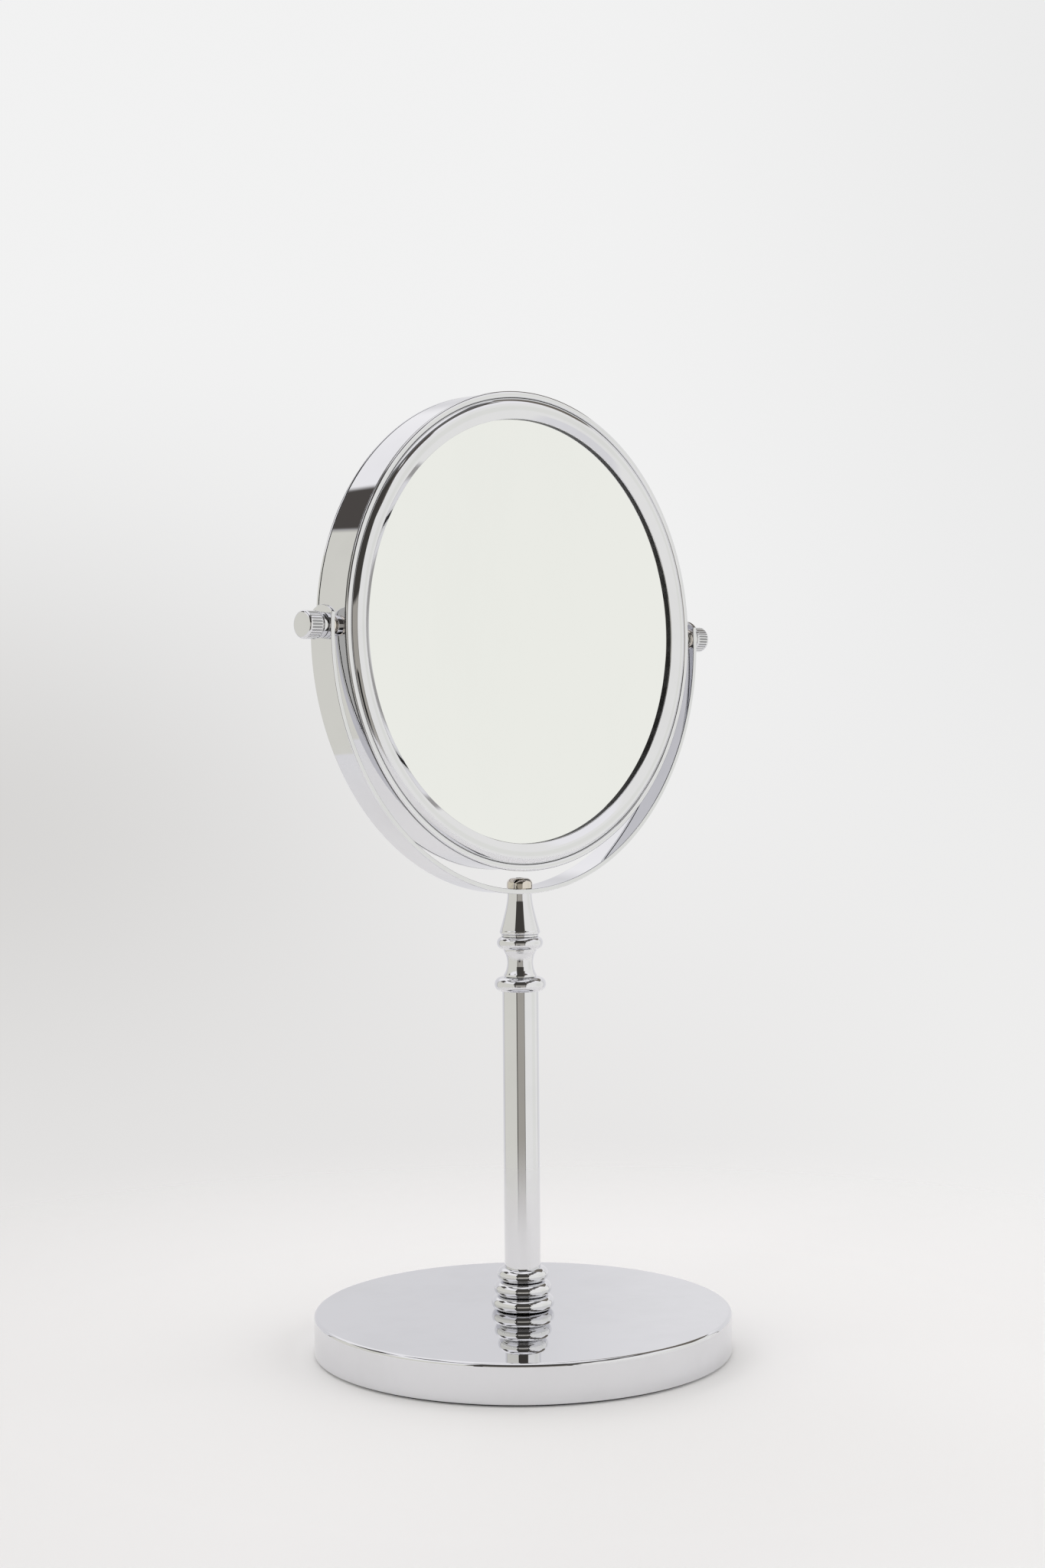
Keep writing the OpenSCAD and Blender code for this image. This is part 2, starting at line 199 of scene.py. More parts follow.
@dataclass(frozen=True)
class Axle:
    """A line that shapes are turned about: its origin, its direction and where angle 0 is."""

    origin: tuple[float, float, float] = (0.0, 0.0, 0.0)
    along: tuple[float, float, float] = (0.0, 0.0, 1.0)
    side: tuple[float, float, float] = (1.0, 0.0, 0.0)

    def place(self, radius: Array, angle: Array, level: Array) -> Array:
        """Turns radius, angle and level along the axle into points in millimetres.

        Args:
            radius: Distance of each point from the axle.
            angle: Angle of each point about it.
            level: Distance of each point along it.

        Returns:
            The points, with one more axis for X, Y and Z.
        """
        along, side = np.array(self.along), np.array(self.side)
        third = np.cross(along, side)
        out = np.cos(angle)[..., None] * side + np.sin(angle)[..., None] * third
        return np.array(self.origin) + radius[..., None] * out + level[..., None] * along

    def turned(self, outline: Array, columns: int = FINE) -> Sheet:
        """Revolves a closed outline.

        Each outline point (r, h) becomes the ring origin + r (cos a, sin a) + h along, for
        even angles a. An outline that starts and ends on the axle closes itself there.

        Args:
            outline: Radius and level of each point, in order round the section.
            columns: Number of steps round the axle.

        Returns:
            The revolved sheet.
        """
        angle = np.linspace(0, 2 * pi, columns, endpoint=False)[None, :]
        radius, level = outline[:, :1], outline[:, 1:]
        spread = np.ones((1, columns))
        return Sheet(self.place(radius * spread, angle + 0 * radius, level * spread))


STEM_AXLE = Axle()


def solid(name: str, sheets: Sequence[Sheet]) -> bpy.types.Object:
    """Makes one closed mesh of some sheets.

    Points that fall together, at poles and seams, are welded. Faces are then turned
    outwards, and edges sharper than a set angle stay crisp under smooth shading.

    Args:
        name: Name of the piece.
        sheets: Sheets in millimetres.

    Returns:
        The object, at the origin, in metres.
    """
    faces, first = [], 0
    for sheet in sheets:
        faces.append(sheet.quads(first))
        first += sheet.points.shape[0] * sheet.points.shape[1]
    points = np.concatenate([sheet.points.reshape(-1, 3) for sheet in sheets]) * MM
    mesh = bpy.data.meshes.new(name)
    mesh.from_pydata(points.tolist(), [], np.concatenate(faces).tolist())
    body = bmesh.new()
    body.from_mesh(mesh)
    bmesh.ops.remove_doubles(body, verts=body.verts, dist=1e-4 * MM)
    bmesh.ops.recalc_face_normals(body, faces=body.faces)
    body.to_mesh(mesh)
    body.free()
    mesh.shade_smooth()
    mesh.set_sharp_from_angle(angle=CREASE)
    piece = bpy.data.objects.new(name, mesh)
    bpy.context.scene.collection.objects.link(piece)
    return piece


def bored(piece: bpy.types.Object, cutter: bpy.types.Object) -> bpy.types.Object:
    """Cuts one piece's shape out of another for good, and removes the cutter.

    Args:
        piece: The piece that gets the holes.
        cutter: The shape of the holes.

    Returns:
        The cut piece.
    """
    cut = piece.modifiers.new("Bore", "BOOLEAN")
    cut.operation, cut.solver, cut.object = "DIFFERENCE", "EXACT", cutter
    shaped = piece.evaluated_get(bpy.context.evaluated_depsgraph_get())
    mesh = bpy.data.meshes.new_from_object(shaped)
    piece.modifiers.clear()
    piece.data = mesh
    mesh.name = piece.name
    mesh.set_sharp_from_angle(angle=CREASE)
    bpy.data.objects.remove(cutter)
    return piece


# ---- Finishes


class Graph:
    """Adds and joins the nodes of one material or world."""

    def __init__(self, tree: bpy.types.NodeTree) -> None:
        """Empties the tree and keeps it."""
        self.tree = tree
        tree.nodes.clear()

    def add(self, kind: str, inputs: dict[str | int, Input] | None = None, **settings: Any) -> bpy.types.Node:
        """Adds a node.

        Args:
            kind: Blender's name of the node's type, without ShaderNode.
            inputs: What goes into its sockets, each a value or another node's output.
            settings: The node's own properties.

        Returns:
            The node.
        """
        node = self.tree.nodes.new("ShaderNode" + kind)
        for name, setting in settings.items():
            setattr(node, name, setting)
        for name, value in (inputs or {}).items():
            if isinstance(value, bpy.types.NodeSocket):
                self.tree.links.new(value, node.inputs[name])
            else:
                node.inputs[name].default_value = value
        return node

    def math(self, operation: str, first: Input, second: Input = 0.0) -> Socket:
        """One arithmetic step on two numbers."""
        return self.add("Math", {0: first, 1: second}, operation=operation).outputs[0]

    def dot(self, vector: Socket, direction: Sequence[float]) -> Socket:
        """Length of a vector along a direction."""
        inputs = {0: vector, 1: direction}
        return self.add("VectorMath", inputs, operation="DOT_PRODUCT").outputs["Value"]

    def from_point(
        self, place: Socket, centre: Sequence[float], kept: Sequence[float]
    ) -> tuple[Socket, Socket]:
        """Measures places from a centre.

        Args:
            place: The place.
            centre: The point to measure from.
            kept: 1 for each axis that counts towards the distance, and 0 for the others.

        Returns:
            The place counted from the centre, and its distance over the axes kept.
        """
        centred = self.add("VectorMath", {0: place, 1: centre}, operation="SUBTRACT").outputs[0]
        across = self.add("VectorMath", {0: centred, 1: kept}, operation="MULTIPLY").outputs[0]
        return centred, self.add("VectorMath", {0: across}, operation="LENGTH").outputs["Value"]

    def ease(self, value: Socket, start: float, end: float, low: float = 0.0, high: float = 1.0) -> Socket:
        """A smooth step from low to high, as value goes from start to end."""
        inputs = {"Value": value, "From Min": start, "From Max": end, "To Min": low, "To Max": high}
        return self.add("MapRange", inputs, interpolation_type="SMOOTHSTEP").outputs[0]

    def mix(self, share: Input, first: Input, second: Input) -> Socket:
        """A colour between two others."""
        node = self.add("Mix", {0: share, 6: first, 7: second}, data_type="RGBA")
        return node.outputs[2]

    def noise(self, place: Socket, scale: float, detail: float = 2.0, roughness: float = 0.5) -> Socket:
        """Soft noise about 0.5, with a given number of lumps a metre."""
        inputs = {"Vector": place, "Scale": scale, "Detail": detail, "Roughness": roughness}
        return self.add("TexNoise", inputs).outputs[0]

    def bump(self, height: Socket, depth: float) -> Socket:
        """A surface normal that follows a height map of the given depth in metres."""
        return self.add("Bump", {"Height": height, "Distance": depth, "Strength": 1.0}).outputs[0]


@dataclass(frozen=True)
class Finish:
    """A procedural surface. Subclasses say what goes into the shader's sockets."""

    name: str
    slot: str

    def material(self) -> bpy.types.Material:
        """Makes the material the first time it is asked for, and finds it after that.

        Returns:
            The material.
        """
        found = bpy.data.materials.get(self.name)
        if found:
            return found
        made = bpy.data.materials.new(self.name)
        made.use_nodes = True
        graph = Graph(made.node_tree)
        place = graph.add("TexCoord").outputs["Object"]
        shader = graph.add("BsdfPrincipled", self.sockets(graph, place))
        graph.add("OutputMaterial", {"Surface": shader.outputs[0]})
        return made

    def sockets(self, graph: Graph, place: Socket) -> dict[str | int, Input]:
        """What goes into the shader, by socket name. Each finish gives its own."""
        raise NotImplementedError


@dataclass(frozen=True)
class Chrome(Finish):
    """Bright plating: a cool metal with a faint orange peel and a trace of polishing haze."""

    tone: Tone = (0.775, 0.777, 0.797, 1)
    hazed_tone: Tone = (0.75, 0.752, 0.77, 1)

    def sockets(self, graph: Graph, place: Socket) -> dict[str | int, Input]:
        """Haze drifts over the tone and roughness, and a shallow ripple bends reflections.

        Args:
            graph: The material's graph.
            place: Place on the piece, in metres.

        Returns:
            What goes into the shader, by socket name.
        """
        haze = graph.ease(graph.noise(place, 38.0, 4.0, 0.6), 0.42, 0.72)
        grain = graph.noise(place, 900.0, 2.0)
        smear = graph.math("MULTIPLY", haze, grain)
        return {
            "Base Color": graph.mix(haze, self.tone, self.hazed_tone),
            "Metallic": 1.0,
            "Roughness": graph.ease(smear, 0.05, 0.6, 0.004, 0.03),
            "Normal": graph.bump(graph.noise(place, 70.0, 1.0), 2e-6),
        }


@dataclass(frozen=True)
class FluteShadedChrome(Chrome):
    """Chrome with painted shade in its flutes, on a knob that turns about the pivot axis."""

    axis_level: float = 0.0
    flute_floor: float = 4.52
    flute_brim: float = 4.7
    flutes_start: tuple[float, float] = (93.3, 94.1)
    flutes_end: tuple[float, float] = (98.2, 98.4)
    # colour of the painted shade in the flutes
    shade_tone: Tone = (0.34, 0.34, 0.35, 1)

    def sockets(self, graph: Graph, place: Socket) -> dict[str | int, Input]:
        """Below the brim the tone darkens with the distance from the axis: painted shade in the flutes.

        Args:
            graph: The material's graph.
            place: Place on the piece, in metres.

        Returns:
            What goes into the shader, by socket name.
        """
        inputs = super().sockets(graph, place)
        centred, radius = graph.from_point(place, (0, 0, self.axis_level * MM), (0, 1, 1))
        length = graph.math("ABSOLUTE", graph.dot(centred, (1, 0, 0)))
        start, end = np.array(self.flutes_start) * MM, np.array(self.flutes_end) * MM
        fluted = graph.math("MULTIPLY", graph.ease(length, *start), graph.ease(length, *end, 1, 0))
        floor, brim = self.flute_floor * MM, self.flute_brim * MM
        shade = graph.math("MULTIPLY", fluted, graph.ease(radius, floor, brim, 1, 0))
        # painted shade: the floors of the flutes are darkened
        inputs["Base Color"] = graph.mix(shade, inputs["Base Color"], self.shade_tone)
        return inputs


@dataclass(frozen=True)
class SeamShadedChrome(Chrome):
    """Chrome with painted shade: a dark line in the two seams beside a bezel's bead."""

    axis_level: float = 0.0
    middle: float = 0.0
    seam_radius: float = 0.0
    seam_reach: float = 0.07
    seam_fade: float = 0.06
    seam_strength: float = 0.8
    lap_depth: float = 0.0
    lap_radius: float = 0.0
    lap_fade: float = 0.05
    # colour of the painted shade in the seams
    shade_tone: Tone = (0.09, 0.085, 0.08, 1)

    def sockets(self, graph: Graph, place: Socket) -> dict[str | int, Input]:
        """Two lines of painted shade: one follows a radius in the face, the other the lap over the band.

        Args:
            graph: The material's graph.
            place: Place on the piece, in metres.

        Returns:
            What goes into the shader, by socket name.
        """
        inputs = super().sockets(graph, place)
        centre = (0, self.middle * MM, self.axis_level * MM)
        centred, radius = graph.from_point(place, centre, (1, 0, 1))
        depth = graph.math("ABSOLUTE", graph.dot(centred, (0, 1, 0)))
        off = graph.math("ABSOLUTE", graph.math("SUBTRACT", radius, self.seam_radius * MM))
        reach, lap, fade = self.seam_reach * MM, self.lap_radius * MM, self.lap_fade * MM
        groove = graph.ease(off, reach, reach + self.seam_fade * MM, self.seam_strength, 0)
        under = graph.ease(depth, self.lap_depth * MM - fade, self.lap_depth * MM + fade, 1, 0)
        lap_shade = graph.math("MULTIPLY", under, graph.ease(radius, lap - fade, lap))
        # painted shade in the seam inside the bead and under the lap over the band
        shade = graph.math("MAXIMUM", groove, lap_shade)
        inputs["Base Color"] = graph.mix(shade, inputs["Base Color"], self.shade_tone)
        return inputs


@dataclass(frozen=True)
class Silvering(Finish):
    """Silvered float glass: a faint green tint, and the ghost of a wiping cloth."""

    tone: Tone = (0.93, 0.935, 0.928, 1)
    wiped_tone: Tone = (0.918, 0.925, 0.918, 1)

    def sockets(self, graph: Graph, place: Socket) -> dict[str | int, Input]:
        """Wide cloudy strokes change the tone a little and the roughness a trace.

        Args:
            graph: The material's graph.
            place: Place on the piece, in metres.

        Returns:
            What goes into the shader, by socket name.
        """
        stroke = graph.add("Mapping", {"Vector": place, "Rotation": (0, 0.6, 0), "Scale": (1, 1, 0.35)})
        cloud = graph.ease(graph.noise(stroke.outputs[0], 26.0, 5.0, 0.65), 0.4, 0.75)
        return {
            "Base Color": graph.mix(cloud, self.tone, self.wiped_tone),
            "Metallic": 1.0,
            "Roughness": graph.ease(cloud, 0.2, 1.0, 0.0, 0.014),
        }


@dataclass(frozen=True)
class CastIron(Finish):
    """A rough sand casting with a dull skin."""

    def sockets(self, graph: Graph, place: Socket) -> dict[str | int, Input]:
        """Coarse grain raises the skin, and rust-brown blushes drift over it.

        Args:
            graph: The material's graph.
            place: Place on the piece, in metres.

        Returns:
            What goes into the shader, by socket name.
        """
        grain = graph.noise(place, 700.0, 6.0, 0.7)
        blush = graph.ease(graph.noise(place, 60.0, 3.0), 0.5, 0.7)
        return {
            "Base Color": graph.mix(blush, (0.09, 0.09, 0.095, 1), (0.13, 0.1, 0.08, 1)),
            "Metallic": 0.6,
            "Roughness": graph.ease(grain, 0.2, 0.8, 0.55, 0.8),
            "Normal": graph.bump(grain, 2.5e-4),
        }


@dataclass(frozen=True)
class ZincSteel(Finish):
    """Dull zinc plating over turned steel."""

    def sockets(self, graph: Graph, place: Socket) -> dict[str | int, Input]:
        """Fine rings from turning lie under a blotchy passivated tone.

        Args:
            graph: The material's graph.
            place: Place on the piece, in metres.

        Returns:
            What goes into the shader, by socket name.
        """
        stretched = graph.add("Mapping", {"Vector": place, "Scale": (1, 1, 30)}).outputs[0]
        rings = graph.noise(stretched, 220.0, 3.0)
        blotch = graph.noise(place, 300.0, 3.0)
        return {
            "Base Color": graph.mix(blotch, (0.5, 0.51, 0.53, 1), (0.62, 0.6, 0.55, 1)),
            "Metallic": 1.0,
            "Roughness": graph.ease(rings, 0.3, 0.7, 0.25, 0.42),
            "Normal": graph.bump(rings, 2e-5),
        }


@dataclass(frozen=True)
class Nylon(Finish):
    """Natural nylon: milky, with a moulded skin."""

    def sockets(self, graph: Graph, place: Socket) -> dict[str | int, Input]:
        """A fine pebbled skin and a slow change from milk to cream.

        Args:
            graph: The material's graph.
            place: Place on the piece, in metres.

        Returns:
            What goes into the shader, by socket name.
        """
        skin = graph.noise(place, 1500.0, 3.0)
        cream = graph.noise(place, 90.0, 2.0)
        return {
            "Base Color": graph.mix(cream, (0.78, 0.77, 0.72, 1), (0.7, 0.68, 0.6, 1)),
            "Roughness": graph.ease(skin, 0.3, 0.7, 0.34, 0.5),
            "Normal": graph.bump(skin, 2e-5),
        }


@dataclass(frozen=True)
class Foam(Finish):
    """Closed-cell black foam with open skin pores."""

    def sockets(self, graph: Graph, place: Socket) -> dict[str | int, Input]:
        """Cells about half a millimetre wide dimple the surface, and painted shade darkens their middles.

        Args:
            graph: The material's graph.
            place: Place on the piece, in metres.

        Returns:
            What goes into the shader, by socket name.
        """
        # the same cells drive the bump and the tone: painted shade in the dimples
        cells = graph.add("TexVoronoi", {"Vector": place, "Scale": 1900.0}).outputs["Distance"]
        return {
            "Base Color": graph.mix(cells, (0.012, 0.012, 0.013, 1), (0.045, 0.045, 0.048, 1)),
            "Roughness": graph.ease(cells, 0.0, 0.8, 0.95, 0.72),
            "Normal": graph.bump(cells, 1.2e-4),
        }


@dataclass(frozen=True)
class Rubber(Finish):
    """Smooth black rubber with a thin dusty bloom; it colours the dark rings of painted shade at the glasses.
    """

    def sockets(self, graph: Graph, place: Socket) -> dict[str | int, Input]:
        """The bloom comes and goes in patches a few millimetres wide.

        Args:
            graph: The material's graph.
            place: Place on the piece, in metres.

        Returns:
            What goes into the shader, by socket name.
        """
        bloom = graph.ease(graph.noise(place, 260.0, 3.0), 0.4, 0.7)
        return {
            "Base Color": graph.mix(bloom, (0.018, 0.018, 0.019, 1), (0.05, 0.05, 0.052, 1)),
            "Roughness": graph.ease(bloom, 0.0, 1.0, 0.42, 0.6),
            "Normal": graph.bump(graph.noise(place, 1500.0, 2.0), 1e-5),
        }


@dataclass(frozen=True)
class Fibreboard(Finish):
    """Pressed board with short crossed fibres."""

    def sockets(self, graph: Graph, place: Socket) -> dict[str | int, Input]:
        """Noise drawn out along X and along Z crosses like pressed fibres.

        Args:
            graph: The material's graph.
            place: Place on the piece, in metres.

        Returns:
            What goes into the shader, by socket name.
        """
        flat = graph.add("Mapping", {"Vector": place, "Scale": (1, 8, 8)}).outputs[0]
        upright = graph.add("Mapping", {"Vector": place, "Scale": (8, 8, 1)}).outputs[0]
        fibres = graph.math("MULTIPLY", graph.noise(flat, 300.0, 4.0), graph.noise(upright, 300.0, 4.0))
        return {
            "Base Color": graph.mix(fibres, (0.16, 0.09, 0.05, 1), (0.5, 0.33, 0.2, 1)),
            "Roughness": graph.ease(fibres, 0.1, 0.5, 0.9, 0.75),
            "Normal": graph.bump(fibres, 8e-5),
        }


CHROME = Chrome("bright_chrome", "polished_chrome")
NICKEL = Chrome("warm_nickel", "polished_chrome", (0.72, 0.67, 0.6, 1), (0.68, 0.63, 0.56, 1))
SILVERING = Silvering("silvered_float_glass", "silvered_glass")
CAST_IRON = CastIron("rough_cast_iron", "cast_iron")
ZINC = ZincSteel("dull_zinc", "zinc_steel")
NYLON = Nylon("natural_nylon", "white_nylon")
FOAM = Foam("closed_cell_foam", "black_foam")
# black of the dark rings of painted shade between lips and glasses
SHADE_RING_RUBBER = Rubber("shade_ring_rubber", "black_foam")
BOARD = Fibreboard("pressed_board", "fibreboard")


def fit(node: str, body: str, finish: Finish, sheets: Sequence[Sheet]) -> bpy.types.Object:
    """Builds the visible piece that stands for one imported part.

    Args:
        node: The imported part's name.
        body: The moving body that it rides on.
        finish: Its surface.
        sheets: Its shape in millimetres.

    Returns:
        The piece.
    """
    return dressed(solid(node + "_skin", sheets), node, body, finish)


def dressed(piece: bpy.types.Object, node: str, body: str, finish: Finish) -> bpy.types.Object:
    """Gives a piece its finish and body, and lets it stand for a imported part.

    Args:
        piece: The piece.
        node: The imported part's name.
        body: The moving body that it rides on.
        finish: Its surface.

    Returns:
        The same piece.
    """
    piece.data.materials.clear()
    piece.data.materials.append(finish.material())
    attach(piece, body)
    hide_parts(node)
    LOG.info("%s: %d faces of %s", piece.name, len(piece.data.polygons), finish.name)
    return piece


def keep_parts(frame: dict[str, Any], finish: Finish, names: Sequence[str]) -> None:
    """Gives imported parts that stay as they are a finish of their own.

    Args:
        frame: What the frame's load gave.
        finish: Their surface.
        names: The parts' names.
    """
    for name in names:
        part = frame["nodes"][name]
        part.data.materials.clear()
        part.data.materials.append(finish.material())
        LOG.info("%s: kept, in %s", name, finish.name)


def span(node: str) -> tuple[Array, Array]:
    """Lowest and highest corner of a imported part, in millimetres."""
    low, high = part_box(node)
    return np.array(low) / MM, np.array(high) / MM


# ---- Stand


@dataclass
class Base:
    """The pressed round cover over its ballast, and the foam pad that it stands on."""

    edge: float = 1.3
    wall: float = 1.0
    hem: float = 0.35
    bolt_hole: float = 3.3
    pad_edge: float = 0.35

    def cover(self) -> Array:
        """Section of the cover: skirt, rolled edge, flat top, and the same inside the wall.

        Returns:
            Radius and level of each point of the closed outline.
        """
        low, high = span("base_cover")
        radius, bottom, top = high[0], low[2], high[2]
        inner, ceiling = radius - self.wall, top - self.wall
        corners = [(radius, bottom), (radius, top), (self.bolt_hole, top)]
        corners += [(self.bolt_hole, ceiling), (inner, ceiling), (inner, bottom)]
        return rounded(corners, [self.hem, self.edge, 0.1, 0.1, 0.3, self.hem], 10)

    def pad(self) -> Array:
        """Section of the pad: a flat disc with softly pressed edges.

        Returns:
            Radius and level of each point of the closed outline.
        """
        low, high = span("base_pad")
        corners = [(0, low[2]), (high[0], low[2]), (high[0], high[2]), (0, high[2])]
        return rounded(corners, [0, self.pad_edge, self.pad_edge, 0])

    def build(self) -> None:
        """Makes the cover and the pad."""
        fit("base_cover", "stand", CHROME, [STEM_AXLE.turned(self.cover(), 320)])
        pad = fit("base_pad", "stand", FOAM, [STEM_AXLE.turned(self.pad())])


@dataclass
class Stem:
    """The fixed tube between its foot rings and its collar, and the rod that slides in it."""

    ring_radii: tuple[float, ...] = (11.3, 10.35, 9.1)
    tube_wall: float = 1.0
    rod_wall: float = 0.8
    lip: float = 0.12
    collar_seat: float = 0.3

    def rings(self) -> Array:
        """Section of the foot: half rounds one above the other, closed by the bore.

        Returns:
            Radius and level of each point of the closed outline.
        """
        low, high = span("foot_rings")
        height = (high[2] - low[2]) / len(self.ring_radii)
        bore = span("stem_tube")[1][0]
        sides = [half_round(r, low[2] + i * height, height) for i, r in enumerate(self.ring_radii)]
        return np.concatenate([*sides, [(bore, high[2]), (bore, low[2])]])

    def pipe(self, node: str, wall: float) -> Array:
        """Section of a plain pipe with eased ends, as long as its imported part.

        Args:
            node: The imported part's name.
            wall: Thickness of the pipe's wall.

        Returns:
            Radius and level of each point of the closed outline.
        """
        low, high = span(node)
        outer, inner = high[0], high[0] - wall
        corners = [(outer, low[2]), (outer, high[2]), (inner, high[2]), (inner, low[2])]
        return rounded(corners, self.lip, 4)

    def collar(self) -> Array:
        """Section of the collar: a half round, bored for the tube below and the rod above.

        Returns:
            Radius and level of each point of the closed outline.
        """
        low, high = span("tube_collar")
        tube, rod = span("stem_tube")[1][0], span("inner_rod")[1][0] + self.collar_seat
        ledge = span("guide_bush")[1][2]
        side = half_round(high[0], low[2], high[2] - low[2], 32)
        return np.concatenate([side, [(rod, high[2]), (rod, ledge), (tube, ledge), (tube, low[2])]])

    def build(self) -> None:
        """Makes the rings, the tube, the collar and the sliding rod."""
        fit("foot_rings", "stand", CHROME, [STEM_AXLE.turned(self.rings())])
        fit("stem_tube", "stand", CHROME, [STEM_AXLE.turned(self.pipe("stem_tube", self.tube_wall))])
        fit("tube_collar", "stand", CHROME, [STEM_AXLE.turned(self.collar())])
        fit("inner_rod", "mast", CHROME, [STEM_AXLE.turned(self.pipe("inner_rod", self.rod_wall))])


# ---- Mast


@dataclass
class Finial:
    """The turned neck with its small bead, and the flared cone that carries the yoke."""

    neck_height: float = 9.8
    neck_end: float = 5.9
    neck_waist: float = 4.65
    land: float = 0.6
    bead_height: float = 4.6
    step_height: float = 0.7
    step: float = 6.7
    spigot: float = 3.98
    screw_bore: float = 2.5
    lip_height: float = 1.8
    cone_top: float = 4.35
    flare_slope: float = 0.32
    flare_round: float = 1.8

    def neck(self) -> Array:
        """Section of the neck: a waist that is one hollow arc, a half-round bead and a step.

        Returns:
            Radius and level of each point of the closed outline.
        """
        low, high = span("neck_finial")
        top = high[2]
        bead_top = top - self.step_height
        bead_low = bead_top - self.bead_height
        bottom = bead_low - self.neck_height
        half = self.neck_height / 2 - self.land
        bend = bow_radius(half, self.neck_end - self.neck_waist)
        spread = np.degrees(np.arcsin(half / bend))
        centre = (self.neck_waist + bend, bottom + self.neck_height / 2)
        waist = arc(centre, bend, 180 + spread, 180 - spread, 24)
        return np.concatenate(
            [
                [(self.screw_bore, low[2]), (self.spigot, low[2]), (self.spigot, bottom)],
                [(self.neck_end - 0.1, bottom), (self.neck_end, bottom + 0.1)],
                waist,
                [(self.neck_end, bead_low)],
                half_round(high[0], bead_low, self.bead_height, 28),
                [(self.step - 0.1, bead_top), (self.step, bead_top + 0.1), (self.step, top - 0.1)],
                [(self.step - 0.1, top), (self.screw_bore, top)],
            ]
        )

    def cone(self) -> Array:
        """Section of the cone: a rolled lip, then a bell that is half of a hyperbola.

        At a depth x under the top the radius is top + sqrt(n^2 + (slope x)^2) - n, which
        starts out upright and settles to the slope.

        Returns:
            Radius and level of each point.
        """
        low, high = span("cone_cap")
        bend = self.lip_height / 2
        lip = arc((high[0] - bend, low[2] + bend), bend, -90, 40, 18)
        level = np.linspace(lip[-1, 1], high[2], 30)[1:]
        spread = np.hypot(self.flare_round, self.flare_slope * (high[2] - level)) - self.flare_round
        flare = np.stack([self.cone_top + spread, level], 1)
        bore = self.screw_bore + 0.1
        return np.concatenate([lip, flare, [(bore, high[2]), (bore, low[2])]])

    def build(self) -> None:
        """Makes the neck and the cone."""
        fit("neck_finial", "mast", CHROME, [STEM_AXLE.turned(self.neck())])
        fit("cone_cap", "mast", CHROME, [STEM_AXLE.turned(self.cone())])


